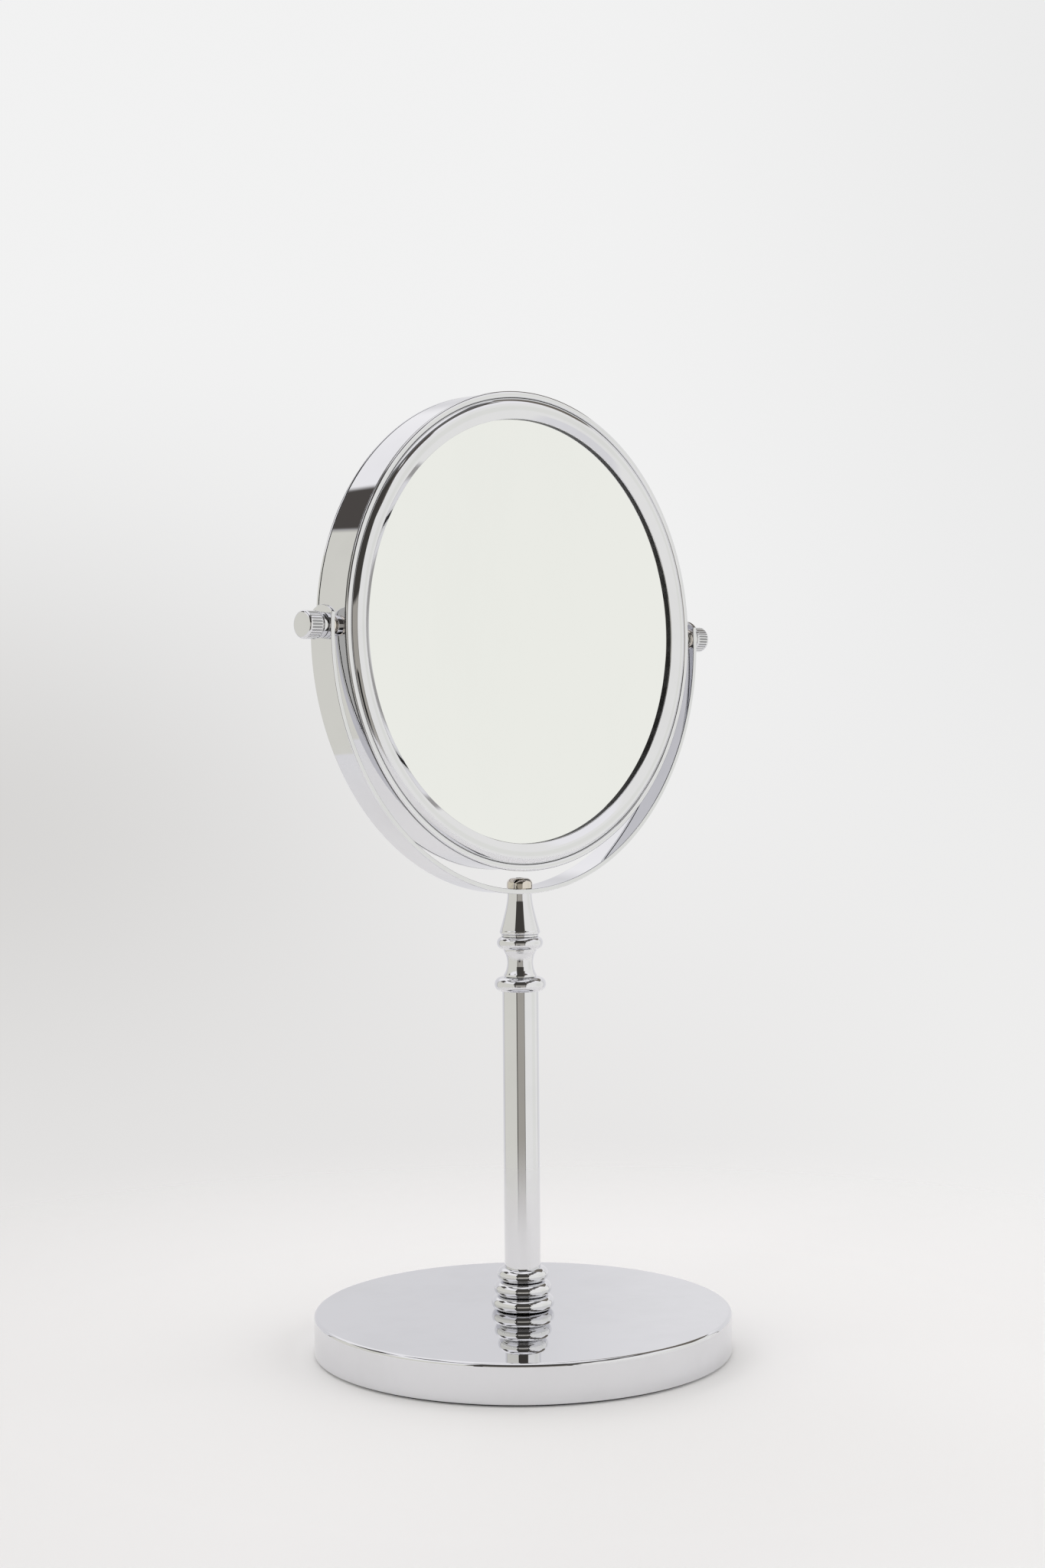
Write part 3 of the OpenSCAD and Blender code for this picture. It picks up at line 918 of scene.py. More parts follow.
@dataclass
class Yoke:
    """The half-round strip with rounded tips, and the socket screw that holds it down."""

    thickness: float = 1.7
    width: float = 10.8
    tip: float = 6.9
    edge: float = 0.3
    pivot_rise: float = 2.4
    pivot_hole: float = 2.08
    screw_hole: float = 2.6
    screw_head: float = 4.6
    head_height: float = 3.7
    head_edge: float = 2.2
    shank: float = 2.5
    socket: float = 1.7
    socket_depth: float = 2.0
    insets: tuple[float, ...] = (0.0, 0.02, 0.06, 0.12, 0.2, 0.3, 0.45)

    def strip(self, pivot_level: float) -> Sheet:
        """The bent strip.

        Stations s run along the strip's middle line, an arc of a circle, and the half width
        w is constant until the tips, where s = tip x sin b and w = tip x cos b follow the
        tip's circle. Across the strip, points lie at fixed insets from the edges. At a
        distance d inside the outline the half thickness is t - e + sqrt(e^2 - (e - d)^2)
        up to the edge radius e, and t beyond it. The outer face is walked one way and the
        inner face back, so each station is a closed ring.

        Args:
            pivot_level: Height of the pivot axis.

        Returns:
            The strip as a sheet.
        """
        outer = span("yoke")[1][0]
        middle, half = outer - self.thickness / 2, self.width / 2
        centre_level = pivot_level - self.pivot_rise
        pivot_s = middle * (pi / 2 + np.arcsin(self.pivot_rise / middle))
        corner = np.arccos(half / self.tip)
        turn = np.linspace(corner, pi / 2, 16)[1:]
        straight = pivot_s + self.tip * np.sin(corner)
        end_s, end_w = pivot_s + self.tip * np.sin(turn), self.tip * np.cos(turn)
        along = np.linspace(-straight, straight, 281)
        s = np.concatenate([-end_s[::-1], along, end_s])
        w = np.concatenate([end_w[::-1], np.full(along.size, half), end_w])
        inset = np.array(self.insets)
        inner = np.linspace(1, 0, 5)[1:-1]
        edge_y = w[:, None] - np.minimum(inset, w[:, None])
        core = edge_y[:, -1:] * inner
        positive = np.concatenate([edge_y, core], 1)
        y = np.concatenate([-positive, 0 * w[:, None], positive[:, ::-1]], 1)
        past = np.maximum(np.abs(s) - pivot_s, 0)[:, None]
        depth = np.minimum(half - np.abs(y), self.tip - np.hypot(past, y))
        gap = self.edge - np.clip(depth, 0, self.edge)
        rise = self.thickness / 2 - self.edge + np.sqrt(self.edge**2 - gap**2)
        reach = middle + np.concatenate([rise, -rise[:, ::-1]], 1)
        across = np.concatenate([y, y[:, ::-1]], 1)
        angle = (s / middle)[:, None]
        points = np.stack([reach * np.sin(angle), across, centre_level - reach * np.cos(angle)], 2)
        return Sheet(points, rows_join=False)

    def holes(self, pivot_level: float) -> bpy.types.Object:
        """Cutter for the pivot holes and the screw hole: two plain bars.

        Args:
            pivot_level: Height of the pivot axis.

        Returns:
            The two bars as one object.
        """
        reach = span("yoke")[1][0] + 2
        across = Axle((-reach, 0, pivot_level), (1, 0, 0), (0, 1, 0))
        seat = span("yoke")[0][2]
        bar = np.array([(0, 0), (self.pivot_hole, 0), (self.pivot_hole, 2 * reach), (0, 2 * reach)])
        below, above, hole = seat - 1, seat + 3, self.screw_hole
        drill = np.array([(0, below), (hole, below), (hole, above), (0, above)])
        return solid("holes", [across.turned(bar, 48), STEM_AXLE.turned(drill, 48)])

    def screw(self) -> Sheet:
        """The screw, with a hexagon sunk into its domed head.

        A hexagon's radius at angle a is its flat's distance over cos(a), with a folded into
        the 60 degrees about each flat. Rows of the section inside the socket take that
        radius, and every other row is round.

        Returns:
            The screw as one sheet.
        """
        low, high = span("yoke_screw")
        top, seat = high[2], high[2] - self.head_height
        dome = arc((self.screw_head - self.head_edge, top - self.head_edge), self.head_edge, 0, 90, 16)
        body = [(0, low[2]), (self.shank - 0.4, low[2]), (self.shank, low[2] + 0.4), (self.shank, seat)]
        body += [(self.screw_head - 0.15, seat), (self.screw_head, seat + 0.15)]
        rim = [(self.socket + 0.25, top)]
        outline = np.concatenate([body, dome, rim])
        angle = np.linspace(0, 2 * pi, 192, endpoint=False)[None, :]
        fold = (angle + pi / 6) % (pi / 3) - pi / 6
        hexagon = self.socket * cos(pi / 6) / np.cos(fold)
        sunk = np.array([(1.06, 0.0), (1.0, 0.1), (1.0, self.socket_depth), (0.0, self.socket_depth + 0.3)])
        radius = np.concatenate([outline[:, :1] + 0 * angle, sunk[:, :1] * hexagon])
        level = np.concatenate([outline[:, 1:], top - sunk[:, 1:]]) + 0 * angle
        return Sheet(STEM_AXLE.place(radius, angle + 0 * radius, level), rows_join=False)

    def build(self, pivot_level: float) -> None:
        """Makes the strip with its holes, and the screw.

        Args:
            pivot_level: Height of the pivot axis.
        """
        strip = solid("yoke_skin", [self.strip(pivot_level)])
        dressed(bored(strip, self.holes(pivot_level)), "yoke", "mast", CHROME)
        fit("yoke_screw", "mast", NICKEL, [self.screw()])


# ---- Head


@dataclass
class Head:
    """The drum frame: its band, a bezel on each face, and the two glasses."""

    band_wall: float = 0.8
    bead_width: float = 2.3
    lap: float = 0.2
    drop: float = 0.5
    bead_rise: float = 0.75
    seam: float = 0.3
    seam_depth: float = 0.6
    seam_line: float = 0.06
    lap_line: float = 0.1
    crown: float = 4.0
    rise_angle: float = 61.0
    fall_angle: float = 28.0
    lip_width: float = 1.0
    lip_edge: float = 0.3
    # gap between the lip and the dark ring of painted shade
    shade_ring_gap: float = 0.03
    view_radius: float = 75.4
    glass_recess: float = 0.95
    glass_thickness: float = 3.0
    glass_edge: float = 0.4
    skirt: float = 2.4
    skirt_wall: float = 0.8
    seat_height: float = 0.35
    seat_reach: float = 6.1
    web_height: float = 0.9
    web_reach: float = 6.9
    hollow: float = 3.4
    hollow_margin: float = 0.4
    foam_radius: float = 70.0
    foam_edge: float = 0.5
    foam_columns: int = 192
    columns: int = 360

    def axle(self, pivot_level: float) -> Axle:
        """The head's own axle: out of the plain glass, from the middle of the pivot axis."""
        return Axle((0, 0, pivot_level), (0, -1, 0), (1, 0, 0))

    def front_of(self, face: Face) -> float:
        """How far a face of the frame lies out of the pivot axis, on its own side."""
        low, high = span("frame_band")
        return (-low[1] if face is Face.FRONT else high[1]) + self.drop

    def band(self) -> Array:
        """Section of the band: a thin flat hoop, a seam's width short of the bezels.

        Returns:
            Radius and distance forward of the pivot axis for each point.
        """
        low, high = span("frame_band")
        outer, front, rear = high[0], -low[1] - self.seam, -high[1] + self.seam
        inner = outer - self.band_wall
        return rounded([(outer, rear), (outer, front), (inner, front), (inner, rear)], 0.06, 3)

    def crown_arc(self) -> tuple[Array, float]:
        """The crown's arc from its foot to the start of the flat slope, and the lip's height.

        Returns:
            The arc's points, and how far the lip stands out of the frame's face.
        """
        foot = span("frame_band")[1][0] + self.lap - self.bead_width
        rise, fall = radians(self.rise_angle), radians(self.fall_angle)
        centre = (foot - self.crown * sin(rise), -self.crown * cos(rise))
        curve = arc(centre, self.crown, 90 - self.rise_angle, 90 + self.fall_angle, 48)
        slope = (curve[-1, 0] - self.view_radius) * sin(fall) / cos(fall)
        return curve, curve[-1, 1] - slope

    def bezel(self, face: Face) -> Array:
        """Section of a bezel.

        Out of the frame's face: a low round bead that laps over the band, a narrow seam, then
        the crown, an arc that rises steeply and falls on a flat slope to the lip. A short
        skirt goes back inside the band.

        Args:
            face: Which way the bezel looks.

        Returns:
            Radius and distance forward of the pivot axis for each point.
        """
        outer = span("frame_band")[1][0]
        inner, bead = outer - self.band_wall, self.bead_width / 2
        start = np.degrees(np.arcsin(self.drop / bead))
        roll = arc((outer + self.lap - bead, 0), bead, -start, 172, 32)
        roll[:, 1] *= np.where(roll[:, 1] > 0, self.bead_rise / bead, 1)
        crown, lip_height = self.crown_arc()
        lip, floor = self.view_radius, lip_height - self.lip_edge - self.shade_ring_gap
        lip_line = [crown[-1], (lip, lip_height), (lip, floor), (lip + self.lip_width, floor)]
        section = np.concatenate(
            [
                [(inner, -self.skirt), (inner, -self.drop)],
                roll,
                [(roll[-1, 0], -self.seam_depth), (crown[0, 0] - self.seam / 2, -self.seam_depth)],
                crown[1:-1],
                rounded(lip_line, [0, self.lip_edge, 0, 0], 6),
                [(lip + self.lip_width, -self.seat_height), (lip + self.seat_reach, -self.seat_height)],
                [(lip + self.web_reach, -self.web_height)],
                [(inner - self.skirt_wall, -self.web_height), (inner - self.skirt_wall, -self.skirt)],
            ]
        )
        section[:, 1] = face.value * (self.front_of(face) + section[:, 1])
        return section

    def shade_ring(self, face: Face) -> Array:
        """Section of the dark ring of painted shade that fills the gap between lip and glass.

        Args:
            face: Which way the glass looks.

        Returns:
            Radius and distance forward of the pivot axis for each point.
        """
        lip, low = self.view_radius + self.shade_ring_gap, -self.glass_recess
        high = self.crown_arc()[1] - self.lip_edge - self.shade_ring_gap
        corners = [(lip, low), (lip + self.lip_width, low), (lip + self.lip_width, high), (lip, high)]
        section = rounded(corners, 0.05, 3)
        section[:, 1] = face.value * (self.front_of(face) + section[:, 1])
        return section

    def plain_glass(self) -> Array:
        """Section of the plain glass: a disc with ground edges.

        Returns:
            Radius and distance forward of the pivot axis for each point.
        """
        low, high = span("plain_mirror")
        corners = [(0, -low[1]), (high[0], -low[1]), (high[0], -high[1]), (0, -high[1])]
        return rounded(corners, [0, self.glass_edge, self.glass_edge, 0])

    def magnifying_glass(self) -> Array:
        """Section of the magnifier: both faces sink as 1 - (r / rim)^2 inside a flat rim.

        Returns:
            Radius and distance forward of the pivot axis for each point.
        """
        low, high = span("magnifying_mirror")
        face, radius = -high[1], high[0]
        rim = self.view_radius - self.hollow_margin
        r = np.linspace(0, rim, 49)
        sink = self.hollow * (1 - (r / rim) ** 2)
        front = np.stack([r, face + sink], 1)
        back = np.stack([r, face + sink + self.glass_thickness], 1)[::-1]
        edge = self.glass_edge
        ground = [(radius - edge, face), (radius, face + edge)]
        rear = face + self.glass_thickness
        ground += [(radius, rear - edge), (radius - edge, rear)]
        return np.concatenate([front, ground, back])

    def foam(self) -> Array:
        """Section of the foam ring between board and magnifier, its edges pressed round.

        Returns:
            Radius and distance forward of the pivot axis for each point.
        """
        low, high = span("foam_ring")
        inner, outer = self.foam_radius, high[0]
        corners = [(inner, -high[1]), (outer, -high[1]), (outer, -low[1]), (inner, -low[1])]
        return rounded(corners, self.foam_edge, 6)

    def seamed(self, face: Face, pivot_level: float) -> SeamShadedChrome:
        """A bezel's chrome with painted shade: a dark line inside the bead, and in front one outside it too.

        Args:
            face: Which way the bezel looks.
            pivot_level: Height of the pivot axis.

        Returns:
            The bezel's finish.
        """
        low, high = span("frame_band")
        front = face is Face.FRONT
        return SeamShadedChrome(
            f"{face.name.lower()}_seamed_chrome",
            "polished_chrome",
            axis_level=pivot_level,
            middle=(low[1] + high[1]) / 2,
            seam_radius=high[0] + self.lap - self.bead_width - self.seam_line,
            lap_depth=(high[1] - low[1]) / 2 + self.drop + self.lap_line if front else 0.0,
            lap_radius=high[0] + self.lap_line,
        )

    def build(self, pivot_level: float) -> None:
        """Makes the band, the foam ring, and a bezel, dark ring of painted shade and glass for each face.

        Args:
            pivot_level: Height of the pivot axis.
        """
        axle, body = self.axle(pivot_level), "mirror_head"
        fit("frame_band", body, CHROME, [axle.turned(self.band(), self.columns)])
        fit("plain_mirror", body, SILVERING, [axle.turned(self.plain_glass(), self.columns)])
        fit("magnifying_mirror", body, SILVERING, [axle.turned(self.magnifying_glass(), self.columns)])
        fit("foam_ring", body, FOAM, [axle.turned(self.foam(), self.foam_columns)])
        for face in Face:
            # each bezel's chrome carries lines of painted shade in its seams
            chrome = self.seamed(face, pivot_level)
            fit(f"{face.name.lower()}_bezel", body, chrome, [axle.turned(self.bezel(face), self.columns)])
            # a dark ring of painted shade between the bezel's lip and the glass
            shade_ring = solid(f"{face.name.lower()}_seal", [axle.turned(self.shade_ring(face), self.columns)])
            shade_ring.data.materials.append(SHADE_RING_RUBBER.material())
            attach(shade_ring, body)


@dataclass
class Pivot:
    """What sits on one end of the pivot axis: boss, barrel spacer and fluted knob."""

    side: Side
    stud: float = 2.0
    bulge: float = 0.8
    knob_collar: float = 4.4
    knob_ring: float = 4.6
    knob_groove: float = 4.3
    knob_throat: float = 3.0
    bore_gap: float = 0.05
    collar_end: float = 1.5
    ring_end: float = 1.8
    groove_end: float = 1.97
    band_start: float = 2.8
    flute_rise: tuple[float, float] = (2.3, 0.7)
    flute_fall: tuple[float, float] = (0.1, 0.3)
    crown: float = 1.1
    bore_depth: float = 6.35
    flutes: int = 28
    flute_radius: float = 0.33
    flute_stand_off: float = 0.05
    columns_a_flute: int = 16

    @property
    def name(self) -> str:
        """The side as it stands in the parts' names."""
        return self.side.name.lower()

    def axle(self, pivot_level: float) -> Axle:
        """The pivot axis, pointing outwards on this side."""
        return Axle((0, 0, pivot_level), (self.side.value, 0, 0), (0, 0, 1))

    def reach(self, part: str) -> tuple[float, float, float]:
        """Where a part starts and ends along the axis, and its radius.

        Args:
            part: The part's name without its side.

        Returns:
            Start and end along the axis, and radius.
        """
        low, high = span(f"{self.name}_{part}")
        ends = sorted((abs(low[0]), abs(high[0])))
        return ends[0], ends[1], (high[1] - low[1]) / 2

    def boss(self) -> Array:
        """Section of the boss: a flat washer with eased edges.

        Returns:
            Radius and distance along the axis for each point.
        """
        start, end, radius = self.reach("boss")
        corners = [(self.stud, start), (radius, start), (radius, end), (self.stud, end)]
        return rounded(corners, [0, 0, 0.2, 0.1])

    def spacer(self) -> Array:
        """Section of the spacer: a bead whose side is one round arc.

        Returns:
            Radius and distance along the axis for each point.
        """
        start, end, radius = self.reach("spacer")
        half = (end - start) / 2
        bend = bow_radius(half, self.bulge)
        spread = np.degrees(np.arcsin(half / bend))
        side = arc((radius - bend, start + half), bend, -spread, spread, 16)
        return np.concatenate([side, [(self.stud, end), (self.stud, start)]])

    def knob(self, pivot_level: float) -> Sheet:
        """The knob.

        The section is a collar, a ring, a groove, a chamfered shoulder, a straight band and
        a crowned end. Round the band, each flute is a round-bottomed groove: at a distance
        x along the rim from its middle, it takes sqrt(r^2 - x^2) less its stand-off off the
        radius, and it fades out over a short run at both ends of the band.

        Args:
            pivot_level: Height of the pivot axis.

        Returns:
            The knob as one sheet.
        """
        start, end, radius = self.reach("knob")
        length = end - start
        band_end = length - self.crown
        collar, proud, groove = self.knob_collar, self.knob_ring, self.knob_groove
        low, high = self.collar_end, self.ring_end
        foot = rounded([(self.stud, 0), (collar, 0), (collar, low), (self.knob_throat, low)], [0, 0.15, 0, 0])
        ring = rounded([(proud, low), (proud, high), (groove, high), (groove, low)], [0.1, 0.1, 0, 0], 4)
        lift = self.groove_end
        shoulder = [(groove, lift), (collar, lift + 0.03), (collar + 0.05, lift + 0.11)]
        band = np.stack([np.full(25, radius), np.linspace(self.band_start, band_end, 25)], 1)
        cap = arc((radius - self.crown, length - self.crown), self.crown, 0, 90, 12)[1:]
        outline = np.concatenate([foot[:-1], ring[:-1], shoulder, band, cap, [(3.6, length), (0, length)]])
        bore = self.stud + self.bore_gap
        inside = [(0, self.bore_depth), (bore, self.bore_depth), (bore, 0)]
        outline = np.concatenate([inside, outline])
        columns = self.flutes * self.columns_a_flute
        angle = np.linspace(0, 2 * pi, columns, endpoint=False)[None, :]
        pitch = 2 * pi / self.flutes
        x = radius * ((angle + pitch / 2) % pitch - pitch / 2)
        cut = np.sqrt(np.maximum(self.flute_radius**2 - x**2, 0)) - self.flute_stand_off
        h, r = outline[:, 1:], outline[:, :1]
        (rise_from, rise), (past_end, fall) = self.flute_rise, self.flute_fall
        fade = np.clip((h - rise_from) / rise, 0, 1) * np.clip((band_end + past_end - h) / fall, 0, 1)
        fade *= r > collar
        radii = r - np.maximum(cut, 0) * fade
        levels = start + h + 0 * angle
        return Sheet(self.axle(pivot_level).place(radii, angle + 0 * radii, levels))

    def build(self, pivot_level: float) -> None:
        """Makes the boss, the spacer and the knob of this side.

        Args:
            pivot_level: Height of the pivot axis.
        """
        axle, body = self.axle(pivot_level), "mirror_head"
        fit(f"{self.name}_boss", body, CHROME, [axle.turned(self.boss(), 128)])
        fit(f"{self.name}_spacer", body, NICKEL, [axle.turned(self.spacer(), 128)])
        # the knob's chrome carries painted shade in its flutes
        fluted = FluteShadedChrome("flute_shaded_chrome", "polished_chrome", axis_level=pivot_level)
        fit(f"{self.name}_knob", f"{self.name}_clamp", fluted, [self.knob(pivot_level)])


# ---- Studio


@dataclass(frozen=True)
class Zone:
    """A soft-edged patch of the studio's surroundings, by bearing and elevation in degrees."""

    colour: tuple[float, float, float]
    bearings: tuple[float, float]
    elevations: tuple[float, float]
    compass: Compass = Compass.BACKDROP
    side_blur: float = 2.0
    top_blur: float = 1.0


@dataclass
class Studio:
    """Camera, pale surroundings, floor and one soft light."""

    eye: tuple[float, float, float] = (-579.4, -591.7, 217.35)
    tilt: float = 89.02
    roll: float = 0.47
    heading: float = -44.5
    lens: float = 53.03
    sensor: float = 36.0
    floor_radius: float = 480.0
    floor_fade: tuple[float, float] = (150.0, 470.0)
    dome: tuple[float, float, float] = (1.0, 0.99, 1.005)
    under: tuple[float, float, float] = (0.84, 0.835, 0.85)
    dome_rise: tuple[float, float] = (-12.0, 6.0)
    # the backdrop's tones: painted shade darkens the paper low on the left
    paper_left: tuple[Tone, Tone] = ((0.79, 0.78, 0.775, 1), (0.885, 0.885, 0.885, 1))
    paper_right: tuple[Tone, Tone] = ((0.87, 0.865, 0.86, 1), (0.83, 0.83, 0.83, 1))
    paper_rise: tuple[float, float] = (-14.0, 6.0)
    paper_turn: tuple[float, float] = (0.0, 16.0)
    # painted shade: a soft dark patch on the backdrop, low on the left
    backdrop_shade: Tone = (0.66, 0.65, 0.64, 1)
    backdrop_shade_turn: tuple[float, float] = (-15.0, 4.0)
    backdrop_shade_levels: tuple[float, float] = (-7.5, 3.5)
    backdrop_shade_blur: float = 7.5
    # the floor's tones: painted shade on the left, lighter on the right
    floor_left: Tone = (0.855, 0.848, 0.844, 1)
    floor_right: Tone = (0.93, 0.923, 0.92, 1)
    floor_tooth: float = 2e-5
    # painted light: the floor's own glow, which lifts its shadows
    floor_glow: float = 0.13
    fill: float = 1.29
    lamp_place: tuple[float, float, float] = (0.75, -0.35, 1.25)
    lamp_turn: tuple[float, float, float] = (14.0, 30.0, 0.0)
    lamp_size: float = 0.9
    lamp_watts: float = 0.3
    zones: tuple[Zone, ...] = field(
        default=(
            Zone((0.76, 0.755, 0.775), (-52, 4), (-40, 26), side_blur=5, top_blur=5),
            Zone((0.83, 0.825, 0.84), (4, 51), (-40, 26), side_blur=5, top_blur=5),
            Zone((0.77, 0.762, 0.70), (-160, -54), (-31, 31), side_blur=1, top_blur=0.4),
            Zone((0.94, 0.935, 0.91), (52, 160), (-31, 36), side_blur=1, top_blur=1),
            Zone((0.885, 0.888, 0.845), (76, 104), (-12, 18), side_blur=6, top_blur=6),
            Zone((0.34, 0.33, 0.32), (-54, -51), (-31, 31), side_blur=0.8),
            Zone((0.40, 0.39, 0.38), (49.5, 52), (-31, 30), side_blur=0.8),
            Zone((0.083, 0.075, 0.07), (-88, -56), (31, 49), side_blur=1.5, top_blur=0.8),
            Zone((0.17, 0.152, 0.13), (8, 65), (30, 58), side_blur=2, top_blur=1),
            Zone((0.11, 0.097, 0.084), (70, 118), (49.5, 62), side_blur=2, top_blur=0.8),
            Zone((0.10, 0.088, 0.078), (114, 142), (42, 60), side_blur=2, top_blur=0.8),
            Zone((0.10, 0.088, 0.078), (138, 172), (31, 52), side_blur=3, top_blur=1),
            Zone((0.15, 0.15, 0.15), (-125, 125), (56, 67), Compass.CAMERA, side_blur=6, top_blur=1),
            Zone((0.42, 0.40, 0.36), (-26, 26), (-40, 12), Compass.CAMERA, side_blur=0.5),
            Zone((0.06, 0.056, 0.05), (-31, 31), (11, 58), Compass.CAMERA, side_blur=1.5, top_blur=1.5),
            Zone((0.05, 0.045, 0.04), (21, 26), (-40, 14), Compass.CAMERA, side_blur=0.6),
            Zone((0.16, 0.15, 0.14), (-26, -23), (-40, 14), Compass.CAMERA, side_blur=0.6),
            Zone((0.02, 0.02, 0.02), (-2, 14), (-40, -13), Compass.CAMERA, side_blur=0.6),
        )
    )

    def camera(self) -> None:
        """Places the camera and makes it the scene's."""
        data = bpy.data.cameras.new("camera")
        data.lens, data.sensor_width = self.lens, self.sensor
        camera = bpy.data.objects.new("camera", data)
        camera.location = [value * MM for value in self.eye]
        camera.rotation_euler = [radians(value) for value in (self.tilt, self.roll, self.heading)]
        bpy.context.scene.collection.objects.link(camera)
        bpy.context.scene.camera = camera

    def bearing(self, graph: Graph, way: Socket, compass: Compass) -> Socket:
        """Bearing of a direction in degrees, 0 at the backdrop or the camera, right positive.

        The direction is split into its parts along and across the camera's heading, and the
        bearing is the arc tangent of across over along.

        Args:
            graph: The world's graph.
            way: The direction.
            compass: Where 0 is.

        Returns:
            The bearing's socket.
        """
        turn = radians(self.heading)
        sign = compass.value
        along = graph.dot(way, (-sign * sin(turn), sign * cos(turn), 0))
        across = graph.dot(way, (sign * cos(turn), sign * sin(turn), 0))
        return graph.math("MULTIPLY", graph.math("ARCTAN2", across, along), 180 / pi)

    def within(self, graph: Graph, value: Socket, limits: tuple[float, float], blur: float) -> Socket:
        """How far a value is inside two limits: 1 inside, 0 outside, eased across each limit.

        Args:
            graph: The world's graph.
            value: The value.
            limits: Its lower and upper limit.
            blur: Half the width over which each limit is eased.

        Returns:
            The share's socket.
        """
        rise = graph.ease(value, limits[0] - blur, limits[0] + blur)
        fall = graph.ease(value, limits[1] - blur, limits[1] + blur, 1, 0)
        return graph.math("MULTIPLY", rise, fall)

    def reflected(self, graph: Graph, bearings: dict[Compass, Socket], elevation: Socket) -> Socket:
        """What the metal and the glass see: a pale dome with each zone laid over it in turn.

        Args:
            graph: The world's graph.
            bearings: Bearing of the direction from each zero.
            elevation: Its elevation in degrees.

        Returns:
            The colour's socket.
        """
        level = graph.ease(elevation, *self.dome_rise)
        colour = graph.mix(level, (*self.under, 1), (*self.dome, 1))
        for zone in self.zones:
            side = self.within(graph, bearings[zone.compass], zone.bearings, zone.side_blur)
            height = self.within(graph, elevation, zone.elevations, zone.top_blur)
            colour = graph.mix(graph.math("MULTIPLY", side, height), colour, (*zone.colour, 1))
        return colour

    def seen(self, graph: Graph, bearing: Socket, elevation: Socket) -> Socket:
        """What the camera sees behind the object: pale paper, with painted shade that dims it low on the
        left.

        Args:
            graph: The world's graph.
            bearing: Bearing of the direction from the backdrop.
            elevation: Its elevation in degrees.

        Returns:
            The colour's socket.
        """
        height = graph.ease(elevation, *self.paper_rise)
        left_tone, right_tone = graph.mix(height, *self.paper_left), graph.mix(height, *self.paper_right)
        paper = graph.mix(graph.ease(bearing, *self.paper_turn), left_tone, right_tone)
        # painted shade: the paper dims in a soft patch low on the left
        left = graph.ease(bearing, *self.backdrop_shade_turn, 1, 0)
        low = self.within(graph, elevation, self.backdrop_shade_levels, self.backdrop_shade_blur)
        dip = graph.math("MULTIPLY", left, low)
        return graph.mix(dip, paper, self.backdrop_shade)

    def surroundings(self) -> None:
        """Builds the world: one colour for what is reflected and lit, one for what is seen."""
        world = bpy.data.worlds.new("studio")
        world.use_nodes = True
        bpy.context.scene.world = world
        graph = Graph(world.node_tree)
        way = graph.add("TexCoord").outputs["Generated"]
        bearings = {compass: self.bearing(graph, way, compass) for compass in Compass}
        slope = graph.math("ARCSINE", graph.dot(way, (0, 0, 1)))
        elevation = graph.math("MULTIPLY", slope, 180 / pi)
        paths = graph.add("LightPath")
        direct = paths.outputs["Is Camera Ray"]
        around = self.reflected(graph, bearings, elevation)
        ahead = self.seen(graph, bearings[Compass.BACKDROP], elevation)
        colour = graph.mix(direct, around, ahead)
        sharp = graph.math("MAXIMUM", direct, paths.outputs["Is Glossy Ray"])
        strength = graph.ease(sharp, 0, 1, self.fill, 1)
        shader = graph.add("Background", {"Color": colour, "Strength": strength})
        graph.add("OutputWorld", {"Surface": shader.outputs[0]})

    def floor(self) -> None:
        """Lays a round pale floor that fades out before its edge. Its tone is painted darker to the left as
        shade, and it glows a little as painted light.
        """
        columns, rings = 96, 12
        radius = np.linspace(0, self.floor_radius, rings)[:, None] + np.zeros((1, columns))
        angle = np.linspace(0, 2 * pi, columns, endpoint=False)[None, :] + 0 * radius
        sheet = Sheet(STEM_AXLE.place(radius, angle, 0 * radius), rows_join=False)
        floor = solid("floor", [sheet])
        paper = bpy.data.materials.new("pale_paper")
        paper.use_nodes = True
        graph = Graph(paper.node_tree)
        place = graph.add("TexCoord").outputs["Object"]
        turn = radians(self.heading)
        across = graph.dot(place, (cos(turn), sin(turn), 0))
        distance = graph.add("VectorMath", {0: place}, operation="LENGTH").outputs["Value"]
        tooth = graph.noise(place, 900.0, 3.0)
        # painted shade: the floor's tone darkens towards the left
        tone = graph.mix(graph.ease(across, -0.3, 0.3), self.floor_left, self.floor_right)
        inputs = {"Base Color": tone, "Roughness": 0.9, "Normal": graph.bump(tooth, self.floor_tooth)}
        inputs["Specular IOR Level"] = 0.1
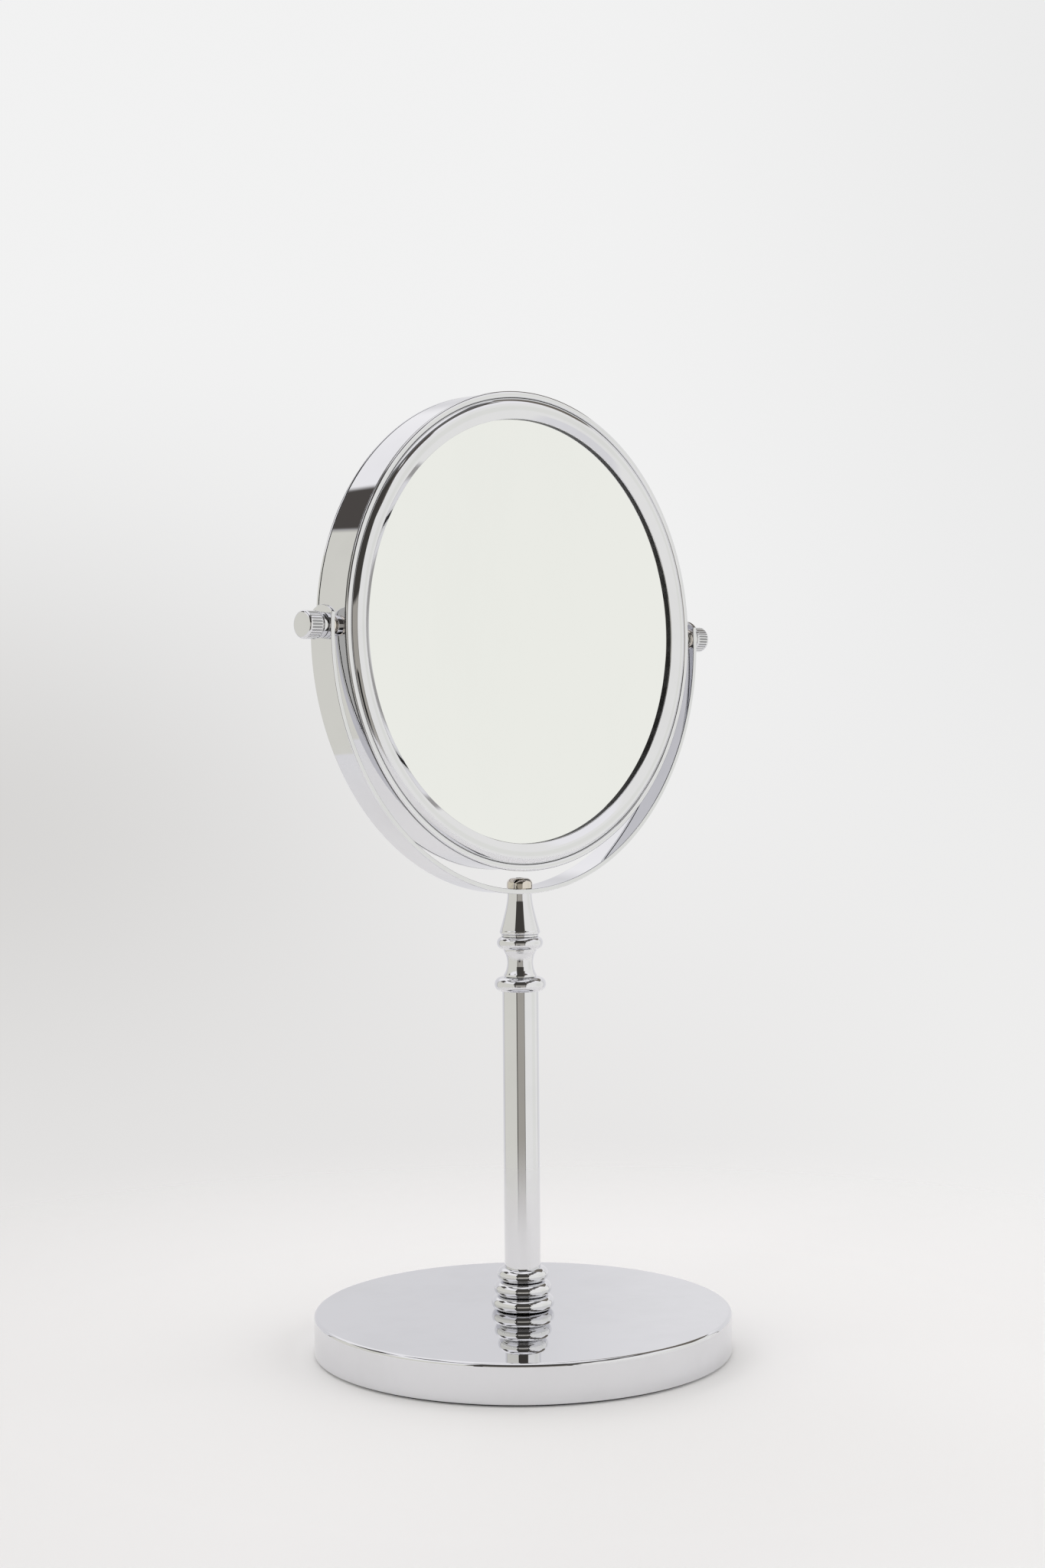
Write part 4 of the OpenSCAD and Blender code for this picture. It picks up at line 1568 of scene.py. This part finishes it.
        # painted light: the floor glows a little, which lifts its shadows
        inputs["Emission Color"] = (1.0, 0.99, 0.985, 1)
        inputs["Emission Strength"] = self.floor_glow
        shader = graph.add("BsdfPrincipled", inputs)
        fade = graph.ease(distance, self.floor_fade[0] * MM, self.floor_fade[1] * MM)
        clear = graph.add("BsdfTransparent").outputs[0]
        mixed = graph.add("MixShader", {0: fade, 1: shader.outputs[0], 2: clear})
        graph.add("OutputMaterial", {"Surface": mixed.outputs[0]})
        floor.data.materials.append(paper)

    def light(self) -> None:
        """Hangs one large soft light up on the right, for a faint shadow."""
        data = bpy.data.lights.new("softbox", "AREA")
        data.shape, data.size, data.energy = "DISK", self.lamp_size, self.lamp_watts
        lamp = bpy.data.objects.new("softbox", data)
        lamp.location = self.lamp_place
        lamp.rotation_euler = [radians(value) for value in self.lamp_turn]
        lamp.visible_glossy = False
        lamp.visible_camera = False
        bpy.context.scene.collection.objects.link(lamp)

    def build(self) -> None:
        """Sets up everything that isn't the object."""
        bpy.context.scene.view_settings.view_transform = "Standard"
        self.camera()
        self.surroundings()
        self.floor()
        self.light()


# ---- Assembly


def corners(box: tuple[Any, Any]) -> list[list[float]]:
    """A box as plain lists of numbers."""
    return [[float(value) for value in corner] for corner in box]


def main() -> None:
    """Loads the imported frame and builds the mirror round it, from the base up."""
    logging.basicConfig(level=logging.INFO, format="%(name)s: %(message)s")
    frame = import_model()
    pivot_level = (span("frame_band")[0][2] + span("frame_band")[1][2]) / 2
    Studio().build()
    Base().build()
    Stem().build()
    Finial().build()
    Yoke().build(pivot_level)
    Head().build(pivot_level)
    for side in Side:
        Pivot(side).build(pivot_level)
    keep_parts(frame, CAST_IRON, ["base_weight"])
    hardware = ["base_bolt", "lock_washer", "flat_washer", "tube_plug", "rod_foot_plug"]
    hardware += ["sleeve_retainer", "rod_end_screw", "left_stud", "right_stud"]
    keep_parts(frame, ZINC, hardware)
    keep_parts(frame, NYLON, ["guide_bush", "friction_sleeve", "left_washer", "right_washer"])
    keep_parts(frame, BOARD, ["backing_board"])


if __name__ == "__main__":
    main()
